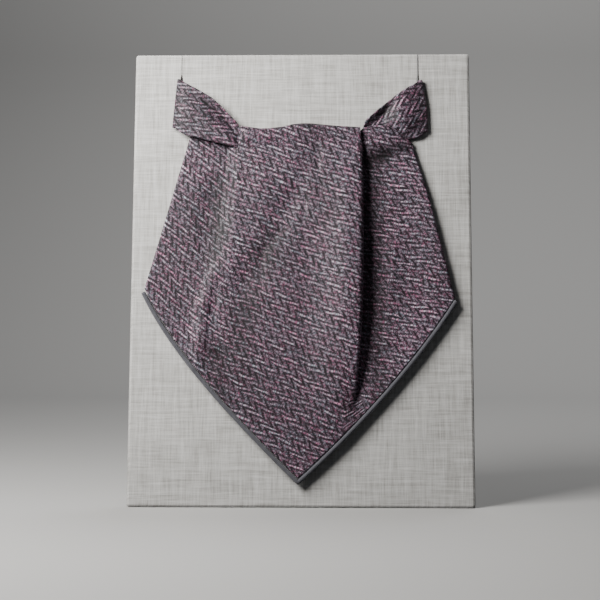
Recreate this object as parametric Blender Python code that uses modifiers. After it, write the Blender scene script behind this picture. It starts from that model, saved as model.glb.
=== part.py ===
"""A silk cravat on a leaning display board, at real size, in metres with +Z up.

Every size and place below is in millimetres in the board's own directions: u runs
across it to the right, v up it from its lower edge and w out of its front face. The
origin is the middle of the board's underside, and the front looks along -Y.
"""

import math

import bmesh
import bpy
import numpy as np
from mathutils import Matrix, Vector

MM = 0.001
GAP = 0.3

BOARD_WIDTH = 200.0
BOARD_HEIGHT = 269.7
BOARD_THICK = 8.0
BOARD_LEAN = math.radians(8.76)
BOARD_ROUND = 1.5
CUT_PAST = 5.0
SLIT_WIDTH = 1.8
LEFT_SLIT_TOP_WIDTH = 0.35
RIGHT_SLIT_TOP_WIDTH = 0.9
SLIT_NARROWS_FROM = 253.7
SLIT_NARROWS_TO = 257.5

BRACKET_OUT = 58.0
BRACKET_THICK = 9.0
BRACKET_HEIGHT = 150.0
BRACKET_REACH = 78.0
BRACKET_TOE = 9.0

CLOTH = 1.2
EAR_CLOTH = 1.0
BINDING_RADIUS = 1.3
INSET = 2 * BINDING_RADIUS + GAP

# The blade's outline: its corners, its tip and the handles of its two lower curves.
LEFT_TOP = (-66.0, 219.0)
LEFT_CORNER = (-92.8, 122.4)
RIGHT_TOP = (65.2, 214.4)
RIGHT_CORNER = (90.5, 117.3)
TIP = (-1.4, 12.6)
LEFT_HANDLES = ((-75.0, 85.4), (-32.1, 42.4))
RIGHT_HANDLES = ((69.0, 83.2), (33.3, 43.6))
RIGHT_SIDE_BULGE = 1.8
SHOULDER = 209.0
SHOULDER_RIDGE = (-37.6, 210.3)
SHOULDER_RIGHT = (67.1, 207.0)
RIDGE_FOOT_TOP = 0.80
RIDGE_FOOT_BOTTOM = 0.6

ROLL_RADIUS = 3.5
ROLL_CENTRE_W = 4.5
ROLL_LEFT = -36.1
ROLL_RIGHT = 34.7
ROLL_END_DIP = 1.5
ROLL_END_SPREAD = 2.6
FLAP_DEPTH = 19.0
FLAP_TAPER = 0.70
FLAP_TAPER_SPEED = 2.2
HOOD_RADIUS = 1.5
HOOD_STEEP = 2.2

# How finely each cloth is divided.
BLADE_ROWS = 24
LEFT_COLUMNS = 8
CENTRE_LEFT_COLUMNS = 9
CENTRE_RIGHT_COLUMNS = 8
RIGHT_COLUMNS = 9
TURN_STEPS = 6
RUN_STEPS = 3
ROLL_RISE_STEPS = 3
ROLL_TURN_STEPS = 6
FLAP_STEPS = 3
HOOD_RISE_STEPS = 4
HOOD_CURL_STEPS = 3
EAR_ROWS = 8
EAR_HIDDEN = (0.0, 0.22, 0.4, 0.45, 0.49, 0.53)
EAR_SHOWN_STEPS = 11
FOLD_STEPS = 5
BEND_STEPS = 2
NECKBAND_ROWS = 4
NECKBAND_COLUMNS = 12
BINDING_STEPS = 14


def table(names, *rows):
    """A short table: its column names, then its rows from first to last."""
    return dict(zip(names.split(), np.array(rows, float).T))


# The blade's long fold lines, from the shoulder (down 0) to the lower edge (down 1).
LINES = table(
    "down  ridge_u  ridge_w  middle_w  knife_u  knife_w  foot_w  left_w  right_w",
    (0.00, -37.6, 5.6, 7.7, 35.8, 8.0, 1.6, 1.9, 2.0),
    (0.15, -38.0, 5.4, 7.0, 36.0, 9.2, 1.5, 1.9, 2.6),
    (0.32, -39.2, 5.0, 6.1, 36.0, 11.2, 1.5, 1.9, 3.1),
    (0.50, -41.6, 4.7, 5.4, 35.6, 11.8, 1.5, 2.0, 3.3),
    (0.67, -45.6, 4.5, 4.9, 34.3, 10.8, 1.8, 2.1, 3.5),
    (0.79, -49.4, 4.4, 4.5, 32.6, 8.6, 2.4, 2.2, 3.6),
    (0.86, -51.6, 4.2, 4.2, 31.4, 6.7, 3.0, 2.3, 3.6),
    (0.93, -53.4, 4.0, 3.9, 30.4, 5.1, 3.6, 2.5, 3.6),
    (1.00, -55.0, 3.4, 3.8, 30.2, 4.4, 3.9, 2.6, 3.6),
)

# The knife pleat: the lengths of its first turn, of the run between the turns and of its
# last turn, and how far the cloth turns, in degrees.
PLEAT = table(
    "down  first_turn  run  last_turn  angle",
    (0.00, 6.4, 4.2, 4.4, 180),
    (0.15, 7.0, 4.4, 4.4, 180),
    (0.55, 7.4, 4.8, 4.4, 180),
    (0.70, 6.6, 3.6, 4.4, 178),
    (0.79, 5.6, 2.0, 4.6, 160),
    (0.87, 5.2, 1.3, 5.2, 100),
    (0.93, 6.0, 1.2, 6.0, 52),
    (1.00, 6.6, 1.2, 6.6, 22),
)

# The top line of the centre panel where it rolls over the neckband.
TOP_LINE = table(
    "u  top",
    (-37.0, 224.6),
    (-31.0, 223.3),
    (-22.0, 222.5),
    (-12.0, 223.4),
    (-3.0, 225.2),
    (3.0, 225.5),
    (12.0, 224.7),
    (24.0, 223.7),
    (36.0, 223.0),
)
TOP_LINE_OVER_CENTRE = 3.95

# The top of the right panel, which is hooded over the neckband and curls back.
HOOD = table(
    "u  top  height  curl",
    (26.0, 218.2, 4.8, 50),
    (33.0, 218.8, 5.0, 60),
    (37.0, 222.5, 5.3, 88),
    (42.0, 223.5, 5.6, 88),
    (46.0, 223.8, 5.7, 88),
    (49.5, 223.8, 5.7, 88),
    (53.0, 222.6, 5.5, 86),
    (57.0, 220.2, 5.0, 76),
    (60.5, 217.8, 4.2, 58),
    (63.0, 216.0, 3.3, 38),
    (66.0, 214.3, 2.3, 14),
)

# Soft troughs and ridges in the blade: ends, half width and height.
CREASES = table(
    "from_u  from_v  to_u  to_v  spread  height",
    (14.0, 226.0, -6.0, 178.0, 7.0, -0.9),
    (-6.0, 178.0, -34.0, 128.0, 8.0, -1.0),
    (-34.0, 128.0, -40.0, 96.0, 9.0, -0.7),
    (-26.0, 215.0, -24.0, 186.0, 7.0, 0.5),
    (-52.0, 190.0, -58.0, 150.0, 5.0, -0.6),
    (-51.0, 138.0, -57.5, 116.0, 3.6, 0.9),
    (-57.5, 116.0, -60.0, 84.0, 4.2, 1.2),
    (-49.0, 122.0, -50.0, 88.0, 5.0, -0.7),
    (-44.0, 84.0, -28.0, 70.0, 9.0, -0.7),
    (27.0, 196.0, 24.0, 110.0, 6.0, 0.6),
    (62.0, 178.0, 66.0, 122.0, 8.0, -0.5),
    (54.0, 150.0, 50.0, 96.0, 5.0, 0.6),
    (40.5, 209.4, 52.0, 211.8, 3.0, 3.4),
)

# Each ear's sections, from the hidden inner end (along 0) to the outer fold (along 1):
# its lower and upper edge, and its height at the lower edge, on its body, in its
# crease and at its rim. crease_at says how far up the section the crease lies.
LEFT_EAR = table(
    "along  low_v  high_v  low_w  body_w  crease_at  crease_w  rim_w",
    (0.00, 211.5, 219.0, 3.2, 3.2, 0.60, 3.2, 3.2),
    (0.44, 211.0, 219.6, 3.4, 3.8, 0.58, 3.4, 3.6),
    (0.49, 210.9, 221.4, 4.1, 4.4, 0.58, 3.3, 4.4),
    (0.52, 211.2, 225.5, 4.8, 4.8, 0.62, 2.9, 5.0),
    (0.58, 212.2, 230.3, 5.3, 5.7, 0.74, 2.8, 5.3),
    (0.67, 213.9, 237.3, 5.4, 5.9, 0.79, 3.4, 5.3),
    (0.75, 215.5, 242.3, 5.3, 5.8, 0.82, 4.1, 5.2),
    (0.83, 217.0, 245.9, 5.0, 5.5, 0.85, 4.5, 4.9),
    (0.91, 218.8, 249.2, 4.6, 5.0, 0.86, 4.4, 4.3),
    (0.96, 220.9, 251.4, 4.0, 4.3, 0.87, 3.8, 3.4),
    (1.00, 223.8, 253.4, 3.4, 3.6, 0.88, 3.2, 2.85),
)
RIGHT_EAR = table(
    "along  low_v  high_v  low_w  body_w  crease_at  crease_w  rim_w",
    (0.00, 213.0, 219.0, 2.9, 2.9, 0.60, 2.9, 2.9),
    (0.44, 213.0, 219.2, 2.4, 2.4, 0.60, 2.5, 2.8),
    (0.495, 213.0, 219.6, 2.2, 2.2, 0.70, 2.3, 2.9),
    (0.53, 213.3, 226.6, 2.1, 2.1, 0.72, 2.2, 4.0),
    (0.60, 214.4, 231.3, 2.1, 2.1, 0.70, 2.1, 4.8),
    (0.66, 219.0, 234.9, 2.1, 2.2, 0.74, 2.2, 5.0),
    (0.69, 221.4, 236.5, 2.1, 3.2, 0.76, 2.6, 5.1),
    (0.72, 221.6, 238.3, 2.1, 5.0, 0.80, 3.6, 5.1),
    (0.76, 220.2, 240.6, 2.1, 6.2, 0.82, 4.8, 5.0),
    (0.79, 218.6, 242.4, 1.9, 6.7, 0.82, 5.6, 4.9),
    (0.82, 217.0, 244.0, 1.6, 6.6, 0.82, 5.7, 4.7),
    (0.85, 216.0, 245.6, 1.4, 6.0, 0.82, 5.3, 4.4),
    (0.88, 216.2, 247.1, 1.5, 5.1, 0.82, 4.6, 3.9),
    (0.94, 217.5, 249.7, 2.4, 3.5, 0.82, 3.3, 3.0),
    (1.00, 221.0, 252.5, 2.45, 2.6, 0.82, 2.55, 2.5),
)
BODY_AT = 0.42
EAR_INNER = GAP / 2
LEFT_FOLD = table("up  out", (0.0, 77.1), (0.5, 75.9), (1.0, 74.6))
RIGHT_FOLD = table("up  out", (0.0, 74.9), (0.4, 74.6), (0.8, 72.9), (1.0, 71.9))
LEFT_SLIT = 72.2
RIGHT_SLIT = 69.4
LEFT_SLIT_BOTTOM = 222.9
RIGHT_SLIT_BOTTOM = 220.2
RETURN_W = 1.15
SLIT_BEND = 0.85
BACK_BEND = 0.9
BACK_W = -BOARD_THICK - GAP - EAR_CLOTH / 2
SEAM_IN = 6.0
NECKBAND_PINCH = 3.5

# Each finish: its colour and its roughness.
LINEN = ((0.60, 0.58, 0.55), 0.9)
SILK = ((0.17, 0.13, 0.155), 0.5)
RIBBED = ((0.16, 0.16, 0.18), 0.6)


def eased(rows, key, name, at):
    """The named column at this place, on a smooth curve that never overshoots its rows."""
    xs, ys = rows[key], rows[name]
    at = min(max(at, xs[0]), xs[-1])
    steps = np.diff(xs)
    slopes = np.diff(ys) / steps
    tangents = np.zeros(len(xs))
    tangents[0], tangents[-1] = slopes[0], slopes[-1]
    for i in range(1, len(xs) - 1):
        if slopes[i - 1] * slopes[i] > 0:
            before = 2 * steps[i] + steps[i - 1]
            after = steps[i] + 2 * steps[i - 1]
            tangents[i] = (before + after) / (before / slopes[i - 1] + after / slopes[i])
    i = min(max(int(np.searchsorted(xs, at)) - 1, 0), len(steps) - 1)
    t = (at - xs[i]) / steps[i]
    start = (1 + 2 * t) * (1 - t) ** 2 * ys[i] + t * (1 - t) ** 2 * steps[i] * tangents[i]
    end = t * t * (3 - 2 * t) * ys[i + 1] + t * t * (t - 1) * steps[i] * tangents[i + 1]
    return float(start + end)


def mix(a, b, t):
    return a + (b - a) * t


def ramp(t):
    t = min(max(t, 0.0), 1.0)
    return t * t * (3 - 2 * t)


def unit(a):
    return np.array(a, float) / np.linalg.norm(a)


def world(u, v, w):
    """A place on the board, in metres from the middle of its underside."""
    sin, cos = math.sin(BOARD_LEAN), math.cos(BOARD_LEAN)
    front = BOARD_THICK / cos / 2
    return Vector((u, v * sin - w * cos - front, v * cos + w * sin)) * MM


def edge_curve(corner, top, handles, inset):
    """The four control points of a lower edge, moved in from the outline by the inset."""
    corner, top, tip = np.array(corner), np.array(top), np.array(TIP)
    first, second = np.array(handles[0]), np.array(handles[1])
    up = np.array((0.0, 1.0))

    def inward(leg):
        across = unit((-leg[1], leg[0]))
        return across if across @ up > 0 else -across

    near, middle, far = inward(first - corner), inward(tip - corner), inward(tip - second)
    side = unit(top - corner)
    return (
        corner + side * inset / (side @ near),
        first + unit(near + middle) * inset,
        second + unit(far + middle) * inset,
        tip + up * inset / far[1],
    )


def on_curve(points, t):
    a, b, c, d = points
    return a * (1 - t) ** 3 + b * 3 * t * (1 - t) ** 2 + c * 3 * t * t * (1 - t) + d * t**3


LEFT_LOWER = edge_curve(LEFT_CORNER, LEFT_TOP, LEFT_HANDLES, INSET)
RIGHT_LOWER = edge_curve(RIGHT_CORNER, RIGHT_TOP, RIGHT_HANDLES, INSET)


def curve_at_u(points, u):
    """How far along a lower edge it crosses this u."""
    low, high = 0.0, 1.0
    rising = points[3][0] > points[0][0]
    for _ in range(40):
        middle = (low + high) / 2
        if (on_curve(points, middle)[0] < u) == rising:
            low = middle
        else:
            high = middle
    return (low + high) / 2


def lower_edge_v(u):
    points = LEFT_LOWER if u < LEFT_LOWER[3][0] else RIGHT_LOWER
    return on_curve(points, curve_at_u(points, u))[1]


def line(name, down):
    return eased(LINES, "down", name, down)


def creased(u, v):
    """What the troughs and ridges add to the blade's height."""
    height = 0.0
    for i in range(len(CREASES["height"])):
        start = np.array((CREASES["from_u"][i], CREASES["from_v"][i]))
        run = np.array((CREASES["to_u"][i], CREASES["to_v"][i])) - start
        along = np.clip((np.array((u, v)) - start) @ run / (run @ run), 0, 1)
        away = np.linalg.norm(np.array((u, v)) - start - run * along)
        height += CREASES["height"][i] * math.exp(-((away / CREASES["spread"][i]) ** 2))
    return height


def knife_start(down):
    """Where the pleat's first turn leaves the centre panel."""
    angle = math.radians(eased(PLEAT, "down", "angle", down))
    radius = eased(PLEAT, "down", "first_turn", down) / angle
    return line("knife_u", down) - radius * math.sin(min(angle, math.pi / 2))


def pleat_shape(down):
    """The pleat's cross-section from its start, as (u, share of the drop), point by point."""
    angle = math.radians(eased(PLEAT, "down", "angle", down))
    first, run, last = (
        eased(PLEAT, "down", name, down) for name in ("first_turn", "run", "last_turn")
    )
    headings = [angle * (i + 0.5) / TURN_STEPS for i in range(TURN_STEPS)]
    steps = [(heading, first / TURN_STEPS) for heading in headings]
    steps += [(angle, run / RUN_STEPS)] * RUN_STEPS
    steps += [(heading, last / TURN_STEPS) for heading in reversed(headings)]
    u, w = 0.0, 0.0
    shape = [(u, w)]
    for heading, length in steps:
        u += math.cos(heading) * length
        w += math.sin(heading) * length
        shape.append((u, w))
    return [(u, drop / w) for u, drop in shape]


def side_line(top, corner, down, bulge=0.0):
    return np.array(
        (
            mix(top[0], corner[0], down) + bulge * math.sin(math.pi * down),
            mix(top[1], corner[1], down),
        )
    )


def patch(across, down, left, right, top, bottom):
    """A place in the panel that these four edge lines bound."""
    sides = mix(left(down), right(down), across)
    ends = mix(top(across), bottom(across), down)
    corners = mix(
        mix(left(0.0), right(0.0), across), mix(left(1.0), right(1.0), across), down
    )
    return sides + ends - corners


def ridge_line(down):
    bottom = lower_edge_v(line("ridge_u", 1.0))
    return np.array((line("ridge_u", down), mix(SHOULDER_RIDGE[1], bottom, down)))


def middle_line(tip, down):
    return np.array((tip[0] * down, mix(SHOULDER, tip[1], down)))


def left_panel(across, down):
    ridge_end = curve_at_u(LEFT_LOWER, line("ridge_u", 1.0))
    u, v = patch(
        across,
        down,
        lambda t: side_line(LEFT_TOP, LEFT_LOWER[0], t),
        ridge_line,
        lambda t: mix(np.array(LEFT_TOP), np.array(SHOULDER_RIDGE), t),
        lambda t: on_curve(LEFT_LOWER, ridge_end * t),
    )
    foot = mix(RIDGE_FOOT_TOP, RIDGE_FOOT_BOTTOM, down)
    rise = ramp((across - foot) / (1 - foot))
    return u, v, mix(line("left_w", down), line("ridge_w", down), rise) + creased(u, v)


def centre_left(across, down):
    ridge_end = curve_at_u(LEFT_LOWER, line("ridge_u", 1.0))
    u, v = patch(
        across,
        down,
        ridge_line,
        lambda t: middle_line(LEFT_LOWER[3], t),
        lambda t: mix(np.array(SHOULDER_RIDGE), np.array((0.0, SHOULDER)), t),
        lambda t: on_curve(LEFT_LOWER, mix(ridge_end, 1.0, t)),
    )
    height = mix(line("ridge_w", down), line("middle_w", down), ramp(across))
    return u, v, height + creased(u, v)


def centre_right(across, down):
    start_end = curve_at_u(RIGHT_LOWER, knife_start(1.0))
    start_bottom = on_curve(RIGHT_LOWER, start_end)
    u, v = patch(
        across,
        down,
        lambda t: middle_line(RIGHT_LOWER[3], t),
        lambda t: np.array((knife_start(t), mix(SHOULDER, start_bottom[1], t))),
        lambda t: np.array((mix(0.0, knife_start(0.0), t), SHOULDER)),
        lambda t: on_curve(RIGHT_LOWER, mix(1.0, start_end, t)),
    )
    height = mix(line("middle_w", down), line("knife_w", down), ramp(across))
    return u, v, height + creased(u, v)


def pleat(step, down):
    """A point of the knife pleat, and its foot as the last step."""
    shape = pleat_shape(down)
    start = centre_right(1.0, down)
    u = start[0] + shape[step][0]
    foot_u = start[0] + shape[-1][0]
    v = start[1] + (lower_edge_v(u) - lower_edge_v(start[0])) * down**3
    bottom = line("foot_w", down) + creased(foot_u, v)
    return u, v, mix(start[2], bottom, shape[step][1])


def right_panel(across, down):
    foot_steps = len(pleat_shape(0.0)) - 1
    foot_end = curve_at_u(RIGHT_LOWER, pleat(foot_steps, 1.0)[0])
    top_right = np.array(SHOULDER_RIGHT)
    top_left = np.array(pleat(foot_steps, 0.0)[:2])
    u, v = patch(
        across,
        down,
        lambda t: np.array(pleat(foot_steps, t)[:2]),
        lambda t: side_line(top_right, RIGHT_LOWER[0], t, RIGHT_SIDE_BULGE * (1 - t)),
        lambda t: mix(top_left, top_right, t),
        lambda t: on_curve(RIGHT_LOWER, foot_end * (1 - t)),
    )
    height = mix(line("foot_w", down), line("right_w", down), ramp(across))
    return u, v, height + creased(u, v)


def roll_centre(u):
    return eased(TOP_LINE, "u", "top", u) - TOP_LINE_OVER_CENTRE


def over_roll(start, left, right, rise):
    """A centre column above the shoulder: rise 0 to 1 up to the roll, 1 to 2 over it and
    2 to 3 down the flap behind. left and right are the shoulder's ends."""
    u, v, w = start
    roll_u = mix(ROLL_LEFT, ROLL_RIGHT, (u - left) / (right - left))
    dip = ROLL_END_DIP * math.exp(-(((roll_u - ROLL_LEFT) / ROLL_END_SPREAD) ** 2))
    centre = roll_centre(roll_u)
    if rise <= 1:
        front = ROLL_CENTRE_W + ROLL_RADIUS - dip
        return mix(u, roll_u, ramp(rise)), mix(v, centre, rise), mix(w, front, ramp(rise))
    if rise <= 2:
        angle = math.pi * (rise - 1)
        height = ROLL_CENTRE_W + ROLL_RADIUS * math.cos(angle) - dip * (2 - rise)
        return roll_u, centre + ROLL_RADIUS * math.sin(angle), height
    drop = rise - 2
    narrow = mix(1.0, FLAP_TAPER, ramp(FLAP_TAPER_SPEED * drop))
    return roll_u * narrow, centre - FLAP_DEPTH * drop, ROLL_CENTRE_W - ROLL_RADIUS


def over_hood(start, rise):
    """A right panel column above the shoulder: rise 0 to 1 up the hood, 1 to 2 round its
    curl."""
    u, v, w = start
    top, height, curl = (eased(HOOD, "u", name, u) for name in ("top", "height", "curl"))
    centre = top - HOOD_RADIUS
    top_u = min(u, RIGHT_TOP[0])
    if rise <= 1:
        return mix(u, top_u, rise), mix(v, centre, rise), mix(w, height, ramp(HOOD_STEEP * rise))
    angle = math.radians(curl) * (rise - 1)
    back = HOOD_RADIUS * (1 - math.cos(angle))
    return top_u, centre + HOOD_RADIUS * math.sin(angle), height - back


def clear_scene():
    for obj in list(bpy.data.objects):
        bpy.data.objects.remove(obj, do_unlink=True)


def material(name, colour, roughness):
    made = bpy.data.materials.new(name)
    made.use_nodes = True
    shader = made.node_tree.nodes["Principled BSDF"]
    shader.inputs["Base Color"].default_value = (*colour, 1.0)
    shader.inputs["Roughness"].default_value = roughness
    shader.inputs["Metallic"].default_value = 0.0
    return made


def keep(obj, finish, collection):
    """Names the object's place in the model and gives it its own material."""
    obj.data.materials.append(finish)
    for held in list(obj.users_collection):
        held.objects.unlink(obj)
    collection.objects.link(obj)
    return obj


def sheet_object(name, quads, thickness):
    """A cloth wall from a surface's cells, each a list of four places."""
    shape = bmesh.new()
    known = {}

    def corner(key, place):
        if key not in known:
            known[key] = shape.verts.new(world(*place))
        return known[key]

    for cell in quads:
        shape.faces.new([corner(key, place) for key, place in cell])
    bmesh.ops.recalc_face_normals(shape, faces=shape.faces)
    mesh = bpy.data.meshes.new(name)
    shape.to_mesh(mesh)
    shape.free()
    mesh.shade_smooth()
    obj = bpy.data.objects.new(name, mesh)
    wall = obj.modifiers.new("wall", "SOLIDIFY")
    wall.thickness = thickness * MM
    wall.offset = 0.0
    wall.use_quality_normals = True
    return obj


def grid_cells(places):
    """The cells of a grid of places that maps (row, column) to a place."""
    cells = []
    for row, column in places:
        around = [(row, column), (row + 1, column), (row + 1, column + 1), (row, column + 1)]
        if all(key in places for key in around):
            cells.append([(key, places[key]) for key in around])
    return cells


def steps_from(start, count):
    """The ends of this many equal steps from the start to one more than it."""
    return [start + (i + 1) / count for i in range(count)]


def blade_row(down):
    """The blade's places at this height, from its left side to its right."""
    turns = len(pleat_shape(0.0)) - 1
    places = [left_panel(i / LEFT_COLUMNS, down) for i in range(LEFT_COLUMNS)]
    places += [centre_left(i / CENTRE_LEFT_COLUMNS, down) for i in range(CENTRE_LEFT_COLUMNS)]
    places += [centre_right(i / CENTRE_RIGHT_COLUMNS, down) for i in range(CENTRE_RIGHT_COLUMNS)]
    places += [pleat(i, down) for i in range(turns)]
    places += [right_panel(i / RIGHT_COLUMNS, down) for i in range(RIGHT_COLUMNS + 1)]
    return places


def apron_places():
    """The blade as a grid: rows from the lower edge up, columns from left to right."""
    places = {}
    for row in range(BLADE_ROWS + 1):
        for column, place in enumerate(blade_row(1.0 - row / BLADE_ROWS)):
            places[row, column] = place
    shoulder = blade_row(0.0)
    first = LEFT_COLUMNS
    knife = first + CENTRE_LEFT_COLUMNS + CENTRE_RIGHT_COLUMNS + TURN_STEPS // 2
    left, right = shoulder[first][0], shoulder[knife][0]
    rises = steps_from(0, ROLL_RISE_STEPS) + steps_from(1, ROLL_TURN_STEPS) + steps_from(2, FLAP_STEPS)
    for i, rise in enumerate(rises):
        for column in range(first, knife + 1):
            above = over_roll(shoulder[column], left, right, rise)
            places[BLADE_ROWS + 1 + i, column] = above
    for i, rise in enumerate(steps_from(0, HOOD_RISE_STEPS) + steps_from(1, HOOD_CURL_STEPS)):
        for column in range(len(shoulder) - RIGHT_COLUMNS - 1, len(shoulder)):
            places[BLADE_ROWS + 1 + i, column] = over_hood(shoulder[column], rise)
    return places


def apron(collection, finish):
    cells = grid_cells(apron_places())
    return keep(sheet_object("apron", cells, CLOTH), finish, collection)


def ear_section(rows, along, up):
    """An ear's height above the board, from its lower edge (up 0) to its rim (up 1)."""
    low, body, crease, rim = (
        eased(rows, "along", name, along) for name in ("low_w", "body_w", "crease_w", "rim_w")
    )
    crease_at = eased(rows, "along", "crease_at", along)
    section = table(
        "up  w", (0.0, low), (crease_at * BODY_AT, body), (crease_at, crease), (1.0, rim)
    )
    return eased(section, "up", "w", up)


def fold_path(front_w, out, slit):
    """Round the outer fold, in under the ear, through the slit and on to the back, as
    (distance out, w)."""
    outermost = out - EAR_CLOTH / 2
    radius = (front_w - RETURN_W) / 2
    centre_w = (front_w + RETURN_W) / 2
    path = []
    for i in range(FOLD_STEPS):
        angle = math.pi * (0.5 - (i + 1) / FOLD_STEPS)
        away = outermost - radius * (1 - math.cos(angle))
        path.append((away, centre_w + radius * math.sin(angle)))
    for i in range(BEND_STEPS + 1):
        angle = math.pi / 2 * i / BEND_STEPS
        away = slit + SLIT_BEND * (1 - math.sin(angle))
        path.append((away, RETURN_W - SLIT_BEND * (1 - math.cos(angle))))
    path.append((slit, -BOARD_THICK / 2))
    for i in range(BEND_STEPS + 1):
        angle = math.pi / 2 * i / BEND_STEPS
        away = slit - BACK_BEND * (1 - math.cos(angle))
        path.append((away, BACK_W + BACK_BEND * (1 - math.sin(angle))))
    path.append((slit - SEAM_IN, BACK_W))
    return path


def ear_places(rows, fold, slit, side):
    """An ear as a grid: rows up its height, columns from the hidden end outwards."""
    alongs = list(EAR_HIDDEN)
    alongs += [mix(EAR_HIDDEN[-1], 1.0, step) for step in steps_from(0, EAR_SHOWN_STEPS)]
    places = {}
    for row in range(EAR_ROWS + 1):
        up = row / EAR_ROWS
        out = eased(fold, "up", "out", up)
        front_w = ear_section(rows, 1.0, up)
        radius = (front_w - RETURN_W) / 2
        reach = out - EAR_CLOTH / 2 - radius
        for column, along in enumerate(alongs):
            low, high = (eased(rows, "along", name, along) for name in ("low_v", "high_v"))
            u = mix(EAR_INNER, reach, along)
            places[row, column] = (side * u, mix(low, high, up), ear_section(rows, along, up))
        v = places[row, len(alongs) - 1][1]
        for i, (away, w) in enumerate(fold_path(front_w, out, slit)):
            places[row, len(alongs) + i] = (side * away, v, w)
    return places


def ear(name, rows, fold, slit, side, collection, finish):
    cells = grid_cells(ear_places(rows, fold, slit, side))
    return keep(sheet_object(name, cells, EAR_CLOTH), finish, collection)


def neckband(collection, finish):
    """The flat band across the board's back, from one ear's seam to the other's."""
    left, right = LEFT_EAR, RIGHT_EAR
    ends = [
        (-(LEFT_SLIT - SEAM_IN - GAP), left["low_v"][-1], left["high_v"][-1]),
        (RIGHT_SLIT - SEAM_IN - GAP, right["low_v"][-1], right["high_v"][-1]),
    ]
    start, end = (np.array(place) for place in ends)
    places = {}
    for column in range(NECKBAND_COLUMNS + 1):
        t = column / NECKBAND_COLUMNS
        u, low, high = mix(start, end, t)
        pinch = NECKBAND_PINCH * math.sin(math.pi * t)
        for row in range(NECKBAND_ROWS + 1):
            v = mix(low + pinch, high - pinch, row / NECKBAND_ROWS)
            places[row, column] = (u, v, BACK_W)
    return keep(sheet_object("neckband", grid_cells(places), EAR_CLOTH), finish, collection)


def binding(collection, finish):
    """The corded binding that follows the blade's two lower edges round its tip."""
    left = edge_curve(LEFT_CORNER, LEFT_TOP, LEFT_HANDLES, BINDING_RADIUS)
    right = edge_curve(RIGHT_CORNER, RIGHT_TOP, RIGHT_HANDLES, BINDING_RADIUS)
    route = [(left, LEFT_LOWER, 0.0)]
    route += [(left, LEFT_LOWER, step) for step in steps_from(0, BINDING_STEPS)]
    route += [(right, RIGHT_LOWER, 1 - step) for step in steps_from(0, BINDING_STEPS)]
    cord = bpy.data.curves.new("binding_curve", "CURVE")
    cord.dimensions = "3D"
    cord.bevel_depth = BINDING_RADIUS * MM
    cord.bevel_resolution = 2
    cord.use_fill_caps = True
    spline = cord.splines.new("POLY")
    spline.points.add(len(route) - 1)
    for point, (outer, inner, t) in zip(spline.points, route):
        u, v = on_curve(outer, t)
        near_u, near_v = on_curve(inner, t)
        point.co = (*world(u, v, lower_edge_w(near_u)), 1.0)
    obj = bpy.data.objects.new("binding", cord)
    return keep(obj, finish, collection)


def lower_edge_w(u):
    """The blade's height at its lower edge."""
    ridge_u, start_u = line("ridge_u", 1.0), knife_start(1.0)
    foot_u = start_u + pleat_shape(1.0)[-1][0]
    v = lower_edge_v(u)
    if u < ridge_u:
        span = (u - LEFT_LOWER[0][0]) / (ridge_u - LEFT_LOWER[0][0])
        rise = ramp((span - RIDGE_FOOT_BOTTOM) / (1 - RIDGE_FOOT_BOTTOM))
        base = mix(line("left_w", 1.0), line("ridge_w", 1.0), rise)
    elif u < LEFT_LOWER[3][0]:
        span = (u - ridge_u) / (LEFT_LOWER[3][0] - ridge_u)
        base = mix(line("ridge_w", 1.0), line("middle_w", 1.0), ramp(span))
    elif u < start_u:
        span = (u - RIGHT_LOWER[3][0]) / (start_u - RIGHT_LOWER[3][0])
        base = mix(line("middle_w", 1.0), line("knife_w", 1.0), ramp(span))
    elif u < foot_u:
        base = mix(line("knife_w", 1.0), line("foot_w", 1.0), (u - start_u) / (foot_u - start_u))
    else:
        span = (u - foot_u) / (RIGHT_LOWER[0][0] - foot_u)
        base = mix(line("foot_w", 1.0), line("right_w", 1.0), ramp(span))
    return base + creased(u, v)


def board_frame():
    """Turns a shape from board directions, in metres, to the model's."""
    columns = [world(1, 0, 0), world(0, 1, 0), world(0, 0, 1)]
    start = world(0, 0, 0)
    frame = Matrix.Identity(4)
    for i, end in enumerate(columns):
        frame.col[i][:3] = (end - start) / MM
    frame.translation = start
    return frame


def slit_cutter(name, u, bottom, top_width, collection):
    """A slit's outline, wide behind the ear and narrow from there to the top edge."""
    half, top_half = SLIT_WIDTH / 2, top_width / 2
    outline = [
        (u - half, bottom),
        (u + half, bottom),
        (u + half, SLIT_NARROWS_FROM),
        (u + top_half, SLIT_NARROWS_TO),
        (u + top_half, BOARD_HEIGHT + CUT_PAST),
        (u - top_half, BOARD_HEIGHT + CUT_PAST),
        (u - top_half, SLIT_NARROWS_TO),
        (u - half, SLIT_NARROWS_FROM),
    ]
    shape = bmesh.new()
    deep = BOARD_THICK + CUT_PAST
    face = shape.faces.new([shape.verts.new(Vector((x, y, -deep)) * MM) for x, y in outline])
    pulled = bmesh.ops.extrude_face_region(shape, geom=[face])["geom"]
    moved = [item for item in pulled if isinstance(item, bmesh.types.BMVert)]
    bmesh.ops.translate(shape, verts=moved, vec=Vector((0, 0, (deep + CUT_PAST) * MM)))
    bmesh.ops.recalc_face_normals(shape, faces=shape.faces)
    mesh = bpy.data.meshes.new(name)
    shape.to_mesh(mesh)
    shape.free()
    obj = bpy.data.objects.new(name, mesh)
    obj.matrix_world = board_frame()
    obj.hide_render = True
    obj.display_type = "WIRE"
    collection.objects.link(obj)
    return obj


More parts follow.
